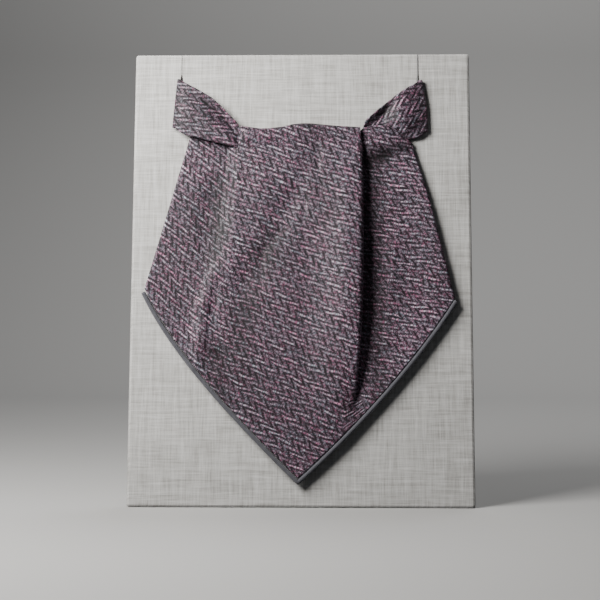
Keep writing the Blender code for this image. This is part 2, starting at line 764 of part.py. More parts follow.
def board(collection, cutters, finish):
    """The display board, cut level underneath and slit from its top edge."""
    shape = bmesh.new()
    bmesh.ops.create_cube(shape, size=1.0)
    size = Matrix.Diagonal((BOARD_WIDTH, BOARD_HEIGHT + CUT_PAST, BOARD_THICK, 1.0))
    place = Matrix.Translation((0, (BOARD_HEIGHT - CUT_PAST) / 2, -BOARD_THICK / 2))
    turned = board_frame() @ Matrix.Scale(MM, 4) @ place @ size
    bmesh.ops.transform(shape, matrix=turned, verts=shape.verts)
    cut = bmesh.ops.bisect_plane(
        shape,
        geom=shape.verts[:] + shape.edges[:] + shape.faces[:],
        plane_co=(0, 0, 0),
        plane_no=(0, 0, 1),
        clear_inner=True,
    )
    edges = [item for item in cut["geom_cut"] if isinstance(item, bmesh.types.BMEdge)]
    bmesh.ops.holes_fill(shape, edges=edges)
    bmesh.ops.recalc_face_normals(shape, faces=shape.faces)
    mesh = bpy.data.meshes.new("board")
    shape.to_mesh(mesh)
    shape.free()
    obj = keep(bpy.data.objects.new("board", mesh), finish, collection)
    rounding = obj.modifiers.new("wrapped_edges", "BEVEL")
    rounding.width = BOARD_ROUND * MM
    rounding.segments = 2
    slits = (
        ("left_slit", -LEFT_SLIT, LEFT_SLIT_BOTTOM, LEFT_SLIT_TOP_WIDTH),
        ("right_slit", RIGHT_SLIT, RIGHT_SLIT_BOTTOM, RIGHT_SLIT_TOP_WIDTH),
    )
    for name, u, bottom, top_width in slits:
        cutting = obj.modifiers.new(name, "BOOLEAN")
        cutting.operation = "DIFFERENCE"
        cutting.solver = "EXACT"
        cutting.object = slit_cutter(name + "_cutter", u, bottom, top_width, cutters)
    return obj


def bracket(name, u, collection, finish):
    """A fixed bracket behind the board, upright on the table."""
    back = [world(0, v, -BOARD_THICK - GAP) / MM for v in (0.0, BRACKET_HEIGHT)]
    slope = (back[1].y - back[0].y) / (back[1].z - back[0].z)
    start = back[0].y - back[0].z * slope
    outline = [
        (start, 0.0),
        (start + BRACKET_REACH, 0.0),
        (start + BRACKET_REACH, BRACKET_TOE),
        (back[1].y + BRACKET_TOE, back[1].z),
        (back[1].y, back[1].z),
    ]
    side = bpy.data.curves.new(name, "CURVE")
    side.dimensions = "2D"
    side.fill_mode = "BOTH"
    side.extrude = BRACKET_THICK / 2 * MM
    spline = side.splines.new("POLY")
    spline.points.add(len(outline) - 1)
    for point, (y, z) in zip(spline.points, outline):
        point.co = (y * MM, z * MM, 0.0, 1.0)
    spline.use_cyclic_u = True
    obj = bpy.data.objects.new(name, side)
    obj.location = (u * MM, 0.0, 0.0)
    obj.rotation_euler = (math.pi / 2, 0.0, math.pi / 2)
    return keep(obj, finish, collection)


def build():
    clear_scene()
    parts = bpy.data.collections.new("silk_cravat_on_board")
    cutters = bpy.data.collections.new("cutters")
    for collection in (parts, cutters):
        bpy.context.scene.collection.children.link(collection)
    board(parts, cutters, material("board_linen", *LINEN))
    for name, side in (("bracket_left", -1), ("bracket_right", 1)):
        bracket(name, side * BRACKET_OUT, parts, material(name + "_linen", *LINEN))
    apron(parts, material("apron_silk", *SILK))
    left, right = material("ear_left_silk", *SILK), material("ear_right_silk", *SILK)
    ear("ear_left", LEFT_EAR, LEFT_FOLD, LEFT_SLIT, -1, parts, left)
    ear("ear_right", RIGHT_EAR, RIGHT_FOLD, RIGHT_SLIT, 1, parts, right)
    neckband(parts, material("neckband_silk", *SILK))
    binding(parts, material("binding_ribbed", *RIBBED))


build()
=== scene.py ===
"""A silk cravat dressed on a leaning display board: its looks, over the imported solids.

Sizes and places on the board are in millimetres, in the board's own directions: u
across it to the right, v up it and w out of its front face.
"""

import math

import bmesh
import bpy
import numpy as np
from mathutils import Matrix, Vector


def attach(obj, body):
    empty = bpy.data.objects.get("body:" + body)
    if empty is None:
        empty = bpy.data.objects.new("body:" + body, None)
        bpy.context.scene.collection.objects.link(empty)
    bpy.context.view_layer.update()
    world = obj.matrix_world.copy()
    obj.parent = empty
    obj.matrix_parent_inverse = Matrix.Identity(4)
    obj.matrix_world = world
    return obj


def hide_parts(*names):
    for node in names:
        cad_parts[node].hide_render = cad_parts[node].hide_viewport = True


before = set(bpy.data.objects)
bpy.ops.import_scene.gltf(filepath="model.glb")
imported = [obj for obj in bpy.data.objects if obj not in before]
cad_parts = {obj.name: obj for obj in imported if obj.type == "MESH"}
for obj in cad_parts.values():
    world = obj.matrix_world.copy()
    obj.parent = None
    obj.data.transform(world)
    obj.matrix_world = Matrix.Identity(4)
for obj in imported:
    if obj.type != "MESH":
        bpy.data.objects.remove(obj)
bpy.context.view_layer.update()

MM = 0.001

# The board, and the gap left between any two pieces.
BOARD_THICK = 8.0
BOARD_LEAN = math.radians(8.76)
GAP = 0.3

# How thick the cloths are, and how far the blade is set in from the outline by its cord.
SILK_THICK = 1.0
EAR_THICK = 0.9
BINDING_RADIUS = 1.3
INSET = 2 * BINDING_RADIUS + GAP

# The blade's outline, its shoulder line and the two curves of its lower edge.
LEFT_TOP = (-66.0, 219.0)
LEFT_CORNER = (-92.8, 122.4)
RIGHT_TOP = (65.2, 214.4)
RIGHT_CORNER = (90.5, 117.3)
TIP = (-1.4, 12.6)
LEFT_HANDLES = ((-75.0, 85.4), (-32.1, 42.4))
RIGHT_HANDLES = ((69.0, 83.2), (33.3, 43.6))
RIGHT_SIDE_BULGE = 1.8

# The shoulder line under the roll and the hood, and where the left ridge's foot begins.
SHOULDER = 209.0
SHOULDER_RIDGE = (-37.6, 210.3)
SHOULDER_RIGHT = (67.1, 207.0)
RIDGE_FOOT_TOP = 0.80
RIDGE_FOOT_BOTTOM = 0.6

# The centre panel's roll over the neckband, its flap behind, and the right panel's hood.
ROLL_RADIUS = 3.5
ROLL_CENTRE_W = 4.5
ROLL_LEFT = -36.1
ROLL_RIGHT = 34.7
ROLL_END_DIP = 1.5
ROLL_END_SPREAD = 2.6
FLAP_DEPTH = 19.0
FLAP_TAPER = 0.70
FLAP_TAPER_SPEED = 2.2
HOOD_RADIUS = 1.5
HOOD_STEEP = 2.2
TOP_LINE_OVER_CENTRE = 3.95

# How finely each cloth is divided.
BLADE_ROWS = 132
LEFT_COLUMNS = 30
CENTRE_LEFT_COLUMNS = 34
CENTRE_RIGHT_COLUMNS = 30
RIGHT_COLUMNS = 34
TURN_STEPS = 8
RUN_STEPS = 4
ROLL_RISE_STEPS = 9
ROLL_TURN_STEPS = 14
FLAP_STEPS = 6
HOOD_RISE_STEPS = 9
HOOD_CURL_STEPS = 6
EAR_ROWS = 34
EAR_HIDDEN_STEPS = 22
EAR_SHOWN_STEPS = 52
FOLD_STEPS = 12
BEND_STEPS = 5
NECKBAND_ROWS = 24
NECKBAND_COLUMNS = 80
CORD_STEPS = 110
CORD_SIDES = 14


def table(names, *rows):
    """A short table: its column names, then its rows from first to last."""
    return dict(zip(names.split(), np.array(rows, float).T))


# The blade's upright lines from the shoulder (down 0) to the lower edge (down 1): where
# they run and how high the cloth stands on them.
LINES = table(
    "down  ridge_u  ridge_w  middle_w  knife_u  knife_w  foot_w  left_w  right_w",
    (0.00, -37.6, 5.6, 7.7, 35.8, 8.0, 1.6, 1.9, 2.0),
    (0.15, -38.0, 5.4, 7.0, 36.0, 9.2, 1.5, 1.9, 2.6),
    (0.32, -39.2, 5.0, 6.1, 36.0, 11.2, 1.5, 1.9, 3.1),
    (0.50, -41.6, 4.7, 5.4, 35.6, 11.8, 1.5, 2.0, 3.3),
    (0.67, -45.6, 4.5, 4.9, 34.3, 10.8, 1.8, 2.1, 3.5),
    (0.79, -49.4, 4.4, 4.5, 32.6, 8.6, 2.4, 2.2, 3.6),
    (0.86, -51.6, 4.2, 4.2, 31.4, 6.7, 3.0, 2.3, 3.6),
    (0.93, -53.4, 4.0, 3.9, 30.4, 5.1, 3.6, 2.5, 3.6),
    (1.00, -55.0, 3.4, 3.8, 30.2, 4.4, 3.9, 2.6, 3.6),
)
# The knife pleat: the lengths of its first turn, of the run between the turns and of its
# last turn, and the angle it turns back by.
PLEAT = table(
    "down  first_turn  run  last_turn  angle",
    (0.00, 6.4, 4.2, 4.4, 180),
    (0.15, 7.0, 4.4, 4.4, 180),
    (0.55, 7.4, 4.8, 4.4, 180),
    (0.70, 6.6, 3.6, 4.4, 178),
    (0.79, 5.6, 2.0, 4.6, 160),
    (0.87, 5.2, 1.3, 5.2, 100),
    (0.93, 6.0, 1.2, 6.0, 52),
    (1.00, 6.6, 1.2, 6.6, 22),
)
# The top line of the centre panel where it rolls over the neckband.
TOP_LINE = table(
    "u  top",
    (-37.0, 224.6),
    (-31.0, 223.3),
    (-22.0, 222.5),
    (-12.0, 223.4),
    (-3.0, 225.2),
    (3.0, 225.5),
    (12.0, 224.7),
    (24.0, 223.7),
    (36.0, 223.0),
)
# The top of the right panel, which is hooded over the neckband and curls back.
HOOD = table(
    "u  top  height  curl",
    (26.0, 218.2, 4.8, 50),
    (33.0, 218.8, 5.0, 60),
    (37.0, 222.5, 5.3, 88),
    (42.0, 223.5, 5.6, 88),
    (46.0, 223.8, 5.7, 88),
    (49.5, 223.8, 5.7, 88),
    (53.0, 222.6, 5.5, 86),
    (57.0, 220.2, 5.0, 76),
    (60.5, 217.8, 4.2, 58),
    (63.0, 216.0, 3.3, 38),
    (66.0, 214.3, 2.3, 14),
)

# The blade's broad troughs and ridges, then its small soft creases.
CREASES = table(
    "from_u  from_v  to_u  to_v  spread  height",
    (14.0, 226.0, -6.0, 178.0, 7.0, -0.9),
    (-6.0, 178.0, -34.0, 128.0, 8.0, -1.0),
    (-34.0, 128.0, -40.0, 96.0, 9.0, -0.7),
    (-26.0, 215.0, -24.0, 186.0, 7.0, 0.5),
    (-52.0, 190.0, -58.0, 150.0, 5.0, -0.6),
    (-51.0, 138.0, -57.5, 116.0, 3.6, 0.9),
    (-57.5, 116.0, -60.0, 84.0, 4.2, 1.2),
    (-49.0, 122.0, -50.0, 88.0, 5.0, -0.7),
    (-44.0, 84.0, -28.0, 70.0, 9.0, -0.7),
    (27.0, 196.0, 24.0, 110.0, 6.0, 0.6),
    (62.0, 178.0, 66.0, 122.0, 8.0, -0.5),
    (54.0, 150.0, 50.0, 96.0, 5.0, 0.6),
    (40.5, 209.4, 52.0, 211.8, 3.0, 3.4),
    (2.2, 180.0, 1.8, 168.0, 1.3, -0.4),
    (-43.4, 192.0, -43.2, 168.0, 1.6, -0.5),
    (-58.0, 181.5, -47.5, 180.6, 1.8, -0.5),
    (-49.4, 128.5, -51.6, 113.6, 1.6, -0.5),
    (-51.6, 113.6, -56.0, 85.0, 1.6, -0.5),
    (10.7, 221.0, 9.6, 199.7, 2.2, -0.35),
    (9.6, 199.7, 11.8, 181.0, 2.0, -0.35),
    (-10.0, 163.0, -22.9, 148.7, 2.4, -0.4),
    (-22.9, 148.7, -23.8, 125.1, 2.4, -0.35),
)

# Painted shade and painted highlight in the silk's colour: darker where the cloth lies in shadow or
# turns from the light, lighter where it catches it. The ends of each soft place, its half width and
# the share that it adds.
PAINTED_LIGHT_AND_SHADE = table(
    "from_u  from_v  to_u  to_v  spread  share",
    (-64.0, 175.0, -74.0, 120.0, 16.0, -0.28),
    (-43.0, 204.0, -46.0, 160.0, 6.0, -0.28),
    (-50.0, 190.0, -50.0, 146.0, 5.0, -0.34),
    (-46.0, 160.0, -54.0, 135.0, 6.0, -0.14),
    (-36.0, 205.0, -34.0, 175.0, 7.0, -0.12),
    (-46.0, 94.0, -24.0, 62.0, 12.0, -0.22),
    (-50.0, 88.0, -47.0, 60.0, 7.0, -0.44),
    (-36.0, 116.0, -34.0, 92.0, 8.0, -0.28),
    (-12.0, 160.0, -20.0, 146.0, 8.0, -0.24),
    (-21.0, 148.0, -30.0, 112.0, 8.0, -0.34),
    (6.0, 222.0, 15.0, 168.0, 9.0, -0.20),
    (0.0, 160.0, 0.0, 50.0, 34.0, -0.14),
    (34.0, 98.0, 34.0, 68.0, 4.0, 0.6),
    (44.0, 200.0, 45.0, 60.0, 6.0, -0.36),
    (-60.0, 233.0, -72.0, 238.0, 20.0, -0.46),
    (72.0, 246.0, 72.0, 224.0, 6.0, -0.5),
    (53.0, 233.0, 53.5, 229.0, 4.5, -0.50),
    (62.8, 234.0, 62.8, 229.0, 4.5, 0.5),
    (38.5, 204.0, 49.0, 206.0, 4.5, -0.50),
    (49.0, 207.0, 60.0, 212.0, 4.0, -0.40),
    (41.0, 227.5, 50.0, 234.5, 2.8, -0.50),
    (-36.0, 225.6, 33.0, 224.2, 2.8, -0.60),
    (-60.0, 240.4, -47.0, 229.8, 0.9, -0.42),
    (-47.0, 229.8, -39.4, 218.0, 1.0, -0.50),
    (-46.0, 233.4, -38.6, 222.8, 1.3, 0.22),
    (72.0, 106.0, 60.0, 88.0, 9.0, 0.36),
)

# The ears, from under the blade (along 0) to their outer fold (along 1): their edges, and
# the heights of their lower edge, their body, their crease and their rim.
LEFT_EAR = table(
    "along  low_v  high_v  low_w  body_w  crease_at  crease_w  rim_w",
    (0.00, 211.5, 219.0, 3.2, 3.2, 0.60, 3.2, 3.2),
    (0.44, 211.0, 219.6, 3.4, 3.8, 0.58, 3.4, 3.6),
    (0.49, 210.9, 221.4, 4.1, 4.4, 0.58, 3.3, 4.4),
    (0.52, 211.2, 225.5, 4.8, 4.8, 0.62, 2.9, 5.0),
    (0.58, 212.2, 230.3, 5.3, 5.7, 0.74, 2.8, 5.3),
    (0.67, 213.9, 237.3, 5.4, 5.9, 0.79, 3.4, 5.3),
    (0.75, 215.5, 242.3, 5.3, 5.8, 0.82, 4.1, 5.2),
    (0.83, 217.0, 245.9, 5.0, 5.5, 0.85, 4.5, 4.9),
    (0.91, 218.8, 249.2, 4.6, 5.0, 0.86, 4.4, 4.3),
    (0.96, 220.9, 251.4, 4.0, 4.3, 0.87, 3.8, 3.4),
    (1.00, 223.8, 253.4, 3.4, 3.6, 0.88, 3.2, 2.85),
)
RIGHT_EAR = table(
    "along  low_v  high_v  low_w  body_w  crease_at  crease_w  rim_w",
    (0.00, 213.0, 219.0, 2.9, 2.9, 0.60, 2.9, 2.9),
    (0.44, 213.0, 219.2, 2.4, 2.4, 0.60, 2.5, 2.8),
    (0.495, 213.0, 219.6, 2.2, 2.2, 0.70, 2.3, 2.9),
    (0.53, 213.3, 226.6, 2.1, 2.1, 0.72, 2.2, 4.0),
    (0.60, 214.4, 231.3, 2.1, 2.1, 0.70, 2.1, 4.8),
    (0.66, 219.0, 234.9, 2.1, 2.2, 0.74, 2.2, 5.0),
    (0.69, 221.4, 236.5, 2.1, 3.2, 0.76, 2.6, 5.1),
    (0.72, 221.6, 238.3, 2.1, 5.0, 0.80, 3.6, 5.1),
    (0.76, 220.2, 240.6, 2.1, 6.2, 0.82, 4.8, 5.0),
    (0.79, 218.6, 242.4, 1.9, 6.7, 0.82, 5.6, 4.9),
    (0.82, 217.0, 244.0, 1.6, 6.6, 0.82, 5.7, 4.7),
    (0.85, 216.0, 245.6, 1.4, 6.0, 0.82, 5.3, 4.4),
    (0.88, 216.2, 247.1, 1.5, 5.1, 0.82, 4.6, 3.9),
    (0.94, 217.5, 249.7, 2.4, 3.5, 0.82, 3.3, 3.0),
    (1.00, 221.0, 252.5, 2.45, 2.6, 0.82, 2.55, 2.5),
)

# Where an ear's body is highest, how it leaves the blade, its outer fold and its way
# through the slit to the seam behind the board.
BODY_AT = 0.42
EAR_INNER = GAP / 2
EAR_EMERGES = 0.53
LEFT_FOLD = table("up  out", (0.0, 77.1), (0.5, 75.9), (1.0, 74.6))
RIGHT_FOLD = table("up  out", (0.0, 74.9), (0.4, 74.6), (0.8, 72.9), (1.0, 71.9))
LEFT_SLIT = 72.2
RIGHT_SLIT = 69.4
RETURN_W = 1.15
SLIT_BEND = 0.85
BACK_BEND = 0.9
BAND_HALF = 0.5
BACK_W = -BOARD_THICK - GAP - BAND_HALF
SEAM_IN = 6.0
SEAM_STEPS = 3
NECKBAND_PINCH = 3.5

# The way the weave's stripes run in each cloth, in degrees from u, and the place on the
# board that they are counted from.
STRIPES_LEFT = (-60.5, (-43.0, 160.0))
STRIPES_CENTRE = (-43.5, (0.0, 160.0))
STRIPES_RIGHT = (-32.0, (40.0, 160.0))
STRIPES_LEFT_EAR = (-28.0, (-55.0, 232.0))
STRIPES_RIGHT_EAR = (38.0, (55.0, 232.0))
STRIPES_NECKBAND = (-45.0, (0.0, 235.0))

# A weave coordinate of 1 is this many mm of cloth.
WEAVE_UNIT = 100.0


def eased(rows, key, name, at):
    """The named column at these places, on a smooth curve that never overshoots its rows."""
    xs, ys = rows[key], rows[name]
    at = np.clip(at, xs[0], xs[-1])
    steps = np.diff(xs)
    slopes = np.diff(ys) / steps
    tangents = np.zeros(len(xs))
    tangents[0], tangents[-1] = slopes[0], slopes[-1]
    for i in range(1, len(xs) - 1):
        if slopes[i - 1] * slopes[i] > 0:
            before = 2 * steps[i] + steps[i - 1]
            after = steps[i] + 2 * steps[i - 1]
            tangents[i] = (before + after) / (before / slopes[i - 1] + after / slopes[i])
    i = np.clip(np.searchsorted(xs, at) - 1, 0, len(steps) - 1)
    t = (at - xs[i]) / steps[i]
    start = (1 + 2 * t) * (1 - t) ** 2 * ys[i] + t * (1 - t) ** 2 * steps[i] * tangents[i]
    end = t * t * (3 - 2 * t) * ys[i + 1] + t * t * (t - 1) * steps[i] * tangents[i + 1]
    return start + end


def mix(a, b, t):
    return a + (b - a) * t


def ramp(t):
    t = np.clip(t, 0.0, 1.0)
    return t * t * (3 - 2 * t)


def unit(a):
    return np.array(a, float) / np.linalg.norm(a)


def pair(u, v):
    """Places on the board from their two directions."""
    u, v = np.broadcast_arrays(u, v)
    return np.stack([u, v], axis=-1)


def to_world(places):
    """Board places, in mm, turned to the model's directions, in metres."""
    sin, cos = math.sin(BOARD_LEAN), math.cos(BOARD_LEAN)
    front = BOARD_THICK / cos / 2
    u, v, w = places[..., 0], places[..., 1], places[..., 2]
    return np.stack([u, v * sin - w * cos - front, v * cos + w * sin], axis=-1) * MM


def edge_curve(corner, top, handles, inset):
    """The four control points of a lower edge, moved in from the outline by the inset."""
    corner, top, tip = np.array(corner), np.array(top), np.array(TIP)
    first, second = np.array(handles[0]), np.array(handles[1])
    up = np.array((0.0, 1.0))

    def inward(leg):
        across = unit((-leg[1], leg[0]))
        return across if across @ up > 0 else -across

    near, middle, far = inward(first - corner), inward(tip - corner), inward(tip - second)
    side = unit(top - corner)
    return (
        corner + side * inset / (side @ near),
        first + unit(near + middle) * inset,
        second + unit(far + middle) * inset,
        tip + up * inset / far[1],
    )


def on_curve(points, t):
    a, b, c, d = points
    t = np.asarray(t, float)[..., None]
    return a * (1 - t) ** 3 + b * 3 * t * (1 - t) ** 2 + c * 3 * t * t * (1 - t) + d * t**3


LEFT_LOWER = edge_curve(LEFT_CORNER, LEFT_TOP, LEFT_HANDLES, INSET)
RIGHT_LOWER = edge_curve(RIGHT_CORNER, RIGHT_TOP, RIGHT_HANDLES, INSET)


def curve_at_u(points, u):
    """How far along a lower edge it crosses this u."""
    ts = np.linspace(0, 1, 2001)
    us = on_curve(points, ts)[:, 0]
    if us[0] > us[-1]:
        us, ts = us[::-1], ts[::-1]
    return np.interp(u, us, ts)


def lower_edge_v(u):
    left = on_curve(LEFT_LOWER, curve_at_u(LEFT_LOWER, u))[..., 1]
    right = on_curve(RIGHT_LOWER, curve_at_u(RIGHT_LOWER, u))[..., 1]
    return np.where(u < LEFT_LOWER[3][0], left, right)


def line(name, down):
    return eased(LINES, "down", name, down)


def added(rows, amount, u, v):
    """What soft lines, each from one end to the other, add together at a place."""
    total = np.zeros(np.broadcast(u, v).shape)
    places = pair(u, v)
    for i in range(len(rows[amount])):
        start = np.array((rows["from_u"][i], rows["from_v"][i]))
        run = np.array((rows["to_u"][i], rows["to_v"][i])) - start
        along = np.clip((places - start) @ run / (run @ run), 0, 1)
        away = np.linalg.norm(places - start - run * along[..., None], axis=-1)
        total += rows[amount][i] * np.exp(-((away / rows["spread"][i]) ** 2))
    return total


def creased(u, v):
    """What the troughs and ridges add to the blade's height."""
    return added(CREASES, "height", u, v)


def pleat_shape(down):
    """The pleat's cross-section from its start: u, share of the drop and length of cloth."""
    angle = np.radians(eased(PLEAT, "down", "angle", down))[..., None]
    first, run, last = (
        eased(PLEAT, "down", name, down)[..., None] for name in ("first_turn", "run", "last_turn")
    )
    headings = angle * (np.arange(TURN_STEPS) + 0.5) / TURN_STEPS
    ones = np.ones(TURN_STEPS)
    heading = np.concatenate([headings, angle * np.ones(RUN_STEPS), headings[..., ::-1]], -1)
    lengths = [
        first / TURN_STEPS * ones,
        run / RUN_STEPS * np.ones(RUN_STEPS),
        last / TURN_STEPS * ones,
    ]
    length = np.concatenate(lengths, -1)

    def running(values):
        return np.concatenate([np.zeros(values.shape[:-1] + (1,)), np.cumsum(values, -1)], -1)

    u, w = running(np.cos(heading) * length), running(np.sin(heading) * length)
    return u, w / w[..., -1:], running(length)


def knife_start(down):
    """Where the pleat's first turn leaves the centre panel."""
    angle = np.radians(eased(PLEAT, "down", "angle", down))
    radius = eased(PLEAT, "down", "first_turn", down) / angle
    return line("knife_u", down) - radius * np.sin(np.minimum(angle, math.pi / 2))


def side_line(top, corner, down, bulge=0.0):
    return pair(
        mix(top[0], corner[0], down) + bulge * np.sin(math.pi * down),
        mix(top[1], corner[1], down),
    )


def patch(across, down, left, right, top, bottom):
    """Places in the panel that these four edge lines bound."""
    start, end = np.zeros((1, 1)), np.ones((1, 1))
    share = across[..., None]
    sides = mix(left(down), right(down), share)
    ends = mix(top(across), bottom(across), down[..., None])
    corners = mix(
        mix(left(start), right(start), share), mix(left(end), right(end), share), down[..., None]
    )
    return sides + ends - corners


def ridge_line(down):
    bottom = lower_edge_v(line("ridge_u", 1.0))
    return pair(line("ridge_u", down), mix(SHOULDER_RIDGE[1], bottom, down))


def middle_line(tip, down):
    return pair(tip[0] * down, mix(SHOULDER, tip[1], down))


def between(start, end, t):
    return np.array(start) + (np.array(end) - np.array(start)) * t[..., None]


def left_panel(across, down):
    ridge_end = curve_at_u(LEFT_LOWER, line("ridge_u", 1.0))
    place = patch(
        across,
        down,
        lambda t: side_line(LEFT_TOP, LEFT_LOWER[0], t),
        ridge_line,
        lambda t: between(LEFT_TOP, SHOULDER_RIDGE, t),
        lambda t: on_curve(LEFT_LOWER, ridge_end * t),
    )
    foot = mix(RIDGE_FOOT_TOP, RIDGE_FOOT_BOTTOM, down)
    rise = ramp((across - foot) / (1 - foot))
    return place, mix(line("left_w", down), line("ridge_w", down), rise)


def centre_left(across, down):
    ridge_end = curve_at_u(LEFT_LOWER, line("ridge_u", 1.0))
    place = patch(
        across,
        down,
        ridge_line,
        lambda t: middle_line(LEFT_LOWER[3], t),
        lambda t: between(SHOULDER_RIDGE, (0.0, SHOULDER), t),
        lambda t: on_curve(LEFT_LOWER, mix(ridge_end, 1.0, t)),
    )
    return place, mix(line("ridge_w", down), line("middle_w", down), ramp(across))


def centre_right(across, down):
    start_end = curve_at_u(RIGHT_LOWER, knife_start(1.0))
    start_bottom = on_curve(RIGHT_LOWER, start_end)
    place = patch(
        across,
        down,
        lambda t: middle_line(RIGHT_LOWER[3], t),
        lambda t: pair(knife_start(t), mix(SHOULDER, start_bottom[1], t)),
        lambda t: pair(mix(0.0, knife_start(0.0), t), SHOULDER),
        lambda t: on_curve(RIGHT_LOWER, mix(1.0, start_end, t)),
    )
    return place, mix(line("middle_w", down), line("knife_w", down), ramp(across))


def pleat(down):
    """The knife pleat's places and heights, and the length of cloth from its start."""
    across, drop, cloth = pleat_shape(down[:, 0])
    start, start_w = centre_right(np.ones((1, 1)), down)
    start_w = start_w + creased(start[..., 0], start[..., 1])
    u = start[..., 0] + across
    v = start[..., 1] + (lower_edge_v(u) - lower_edge_v(start[..., 0])) * down**3
    foot_u = u[:, -1:]
    bottom = line("foot_w", down) + creased(foot_u, v)
    return pair(u, v), mix(start_w, bottom, drop), cloth


def right_panel(across, down):
    foot, _, _ = pleat(down)
    top_foot, _, _ = pleat(np.zeros((1, 1)))
    end_foot, _, _ = pleat(np.ones((1, 1)))
    foot_end = curve_at_u(RIGHT_LOWER, end_foot[0, -1, 0])

    def foot_line(t):
        if t.size == 1:
            return (top_foot if t[0, 0] == 0 else end_foot)[:, -1:]
        return foot[:, -1:]

    place = patch(
        across,
        down,
        foot_line,
        lambda t: side_line(SHOULDER_RIGHT, RIGHT_LOWER[0], t, RIGHT_SIDE_BULGE * (1 - t)),
        lambda t: between(top_foot[0, -1], SHOULDER_RIGHT, t),
        lambda t: on_curve(RIGHT_LOWER, foot_end * (1 - t)),
    )
    return place, mix(line("foot_w", down), line("right_w", down), ramp(across))


def over_roll(start, left, right, rise):
    """A centre column above the shoulder: rise 0 to 1 up to the roll, 1 to 2 over it and
    2 to 3 down the flap behind. left and right are the shoulder's ends."""
    u, v, w = start[:, 0], start[:, 1], start[:, 2]
    roll_u = mix(ROLL_LEFT, ROLL_RIGHT, (u - left) / (right - left))
    dip = ROLL_END_DIP * np.exp(-(((roll_u - ROLL_LEFT) / ROLL_END_SPREAD) ** 2))
    centre = eased(TOP_LINE, "u", "top", roll_u) - TOP_LINE_OVER_CENTRE
    if rise <= 1:
        front = ROLL_CENTRE_W + ROLL_RADIUS - dip
        eased_rise = ramp(rise)
        return np.stack(
            [mix(u, roll_u, eased_rise), mix(v, centre, rise), mix(w, front, eased_rise)], 1
        )
    if rise <= 2:
        angle = math.pi * (rise - 1)
        height = ROLL_CENTRE_W + ROLL_RADIUS * math.cos(angle) - dip * (2 - rise)
        return np.stack([roll_u, centre + ROLL_RADIUS * math.sin(angle), height], 1)
    drop = rise - 2
    narrow = mix(1.0, FLAP_TAPER, ramp(FLAP_TAPER_SPEED * drop))
    behind = np.full(len(u), ROLL_CENTRE_W - ROLL_RADIUS)
    return np.stack([roll_u * narrow, centre - FLAP_DEPTH * drop, behind], 1)


def over_hood(start, rise):
    """A right panel column above the shoulder: rise 0 to 1 up the hood, 1 to 2 round its
    curl."""
    u, v, w = start[:, 0], start[:, 1], start[:, 2]
    top, height, curl = (eased(HOOD, "u", name, u) for name in ("top", "height", "curl"))
    centre = top - HOOD_RADIUS
    top_u = np.minimum(u, RIGHT_TOP[0])
    if rise <= 1:
        lifted = mix(w, height, ramp(HOOD_STEEP * rise))
        return np.stack([mix(u, top_u, rise), mix(v, centre, rise), lifted], 1)
    angle = np.radians(curl) * (rise - 1)
    back = HOOD_RADIUS * (1 - np.cos(angle))
    return np.stack([top_u, centre + HOOD_RADIUS * np.sin(angle), height - back], 1)


def steps_from(start, count):
    """The ends of this many equal steps from the start to one more than it."""
    return [start + (i + 1) / count for i in range(count)]


def raised(flat, height):
    """Places on the blade, with its troughs and ridges added to their height."""
    height = height + creased(flat[..., 0], flat[..., 1])
    return np.concatenate([flat, height[..., None]], -1)


def blade_body():
    """The blade from its lower edge to its shoulder: places, cloth coordinates and where
    each panel's columns begin."""
    down = np.linspace(1.0, 0.0, BLADE_ROWS + 1)[:, None]
    panels = (
        (left_panel, LEFT_COLUMNS),
        (centre_left, CENTRE_LEFT_COLUMNS),
        (centre_right, CENTRE_RIGHT_COLUMNS),
    )
    places, cloth, starts = [], [], [0]
    for panel, count in panels:
        flat, height = panel(np.arange(count)[None, :] / count, down)
        places.append(raised(flat, height))
        cloth.append(flat)
        starts.append(starts[-1] + count)
    flat, height, length = pleat(down)
    places.append(np.concatenate([flat, height[..., None]], -1)[:, :-1])
    laid_flat = pair(flat[:, :1, 0] + length, flat[:, :1, 1] + np.zeros_like(length))
    cloth.append(laid_flat[:, :-1])
    starts.append(starts[-1] + flat.shape[1] - 1)
    flat, height = right_panel(np.arange(RIGHT_COLUMNS + 1)[None, :] / RIGHT_COLUMNS, down)
    places.append(raised(flat, height))
    cloth.append(flat)
    return np.concatenate(places, 1), np.concatenate(cloth, 1), starts


def blade_places():
    """The whole blade as rows and columns of places, with gaps left as not a number."""
    body, cloth, starts = blade_body()
    rises = steps_from(0, ROLL_RISE_STEPS) + steps_from(1, ROLL_TURN_STEPS)
    rises += steps_from(2, FLAP_STEPS)
    hoods = steps_from(0, HOOD_RISE_STEPS) + steps_from(1, HOOD_CURL_STEPS)
    extra = max(len(rises), len(hoods))
    columns = body.shape[1]
    above = np.full((extra, columns, 3), np.nan)
    shoulder = body[-1]
    first, knife = starts[1], starts[3] + TURN_STEPS // 2
    ends = shoulder[first, 0], shoulder[knife, 0]
    for i, rise in enumerate(rises):
        above[i, first : knife + 1] = over_roll(shoulder[first : knife + 1], *ends, rise)
    for i, rise in enumerate(hoods):
        above[i, starts[4] :] = over_hood(shoulder[starts[4] :], rise)
    places = np.concatenate([body, above])
    reach = np.linalg.norm(np.diff(places[BLADE_ROWS:], axis=0), axis=-1).cumsum(0)
    higher = np.stack([np.broadcast_to(cloth[-1, :, 0], reach.shape), cloth[-1, :, 1] + reach], -1)
    return places, np.concatenate([cloth, higher]), starts


def turned(cloth, degrees, pivot):
    """Cloth coordinates along and across the weave's stripes."""
    angle = math.radians(degrees)
    along = np.array((math.cos(angle), math.sin(angle)))
    across = np.array((-math.sin(angle), math.cos(angle)))
    moved = cloth - np.array(pivot)
    return np.stack([moved @ along, moved @ across], -1)


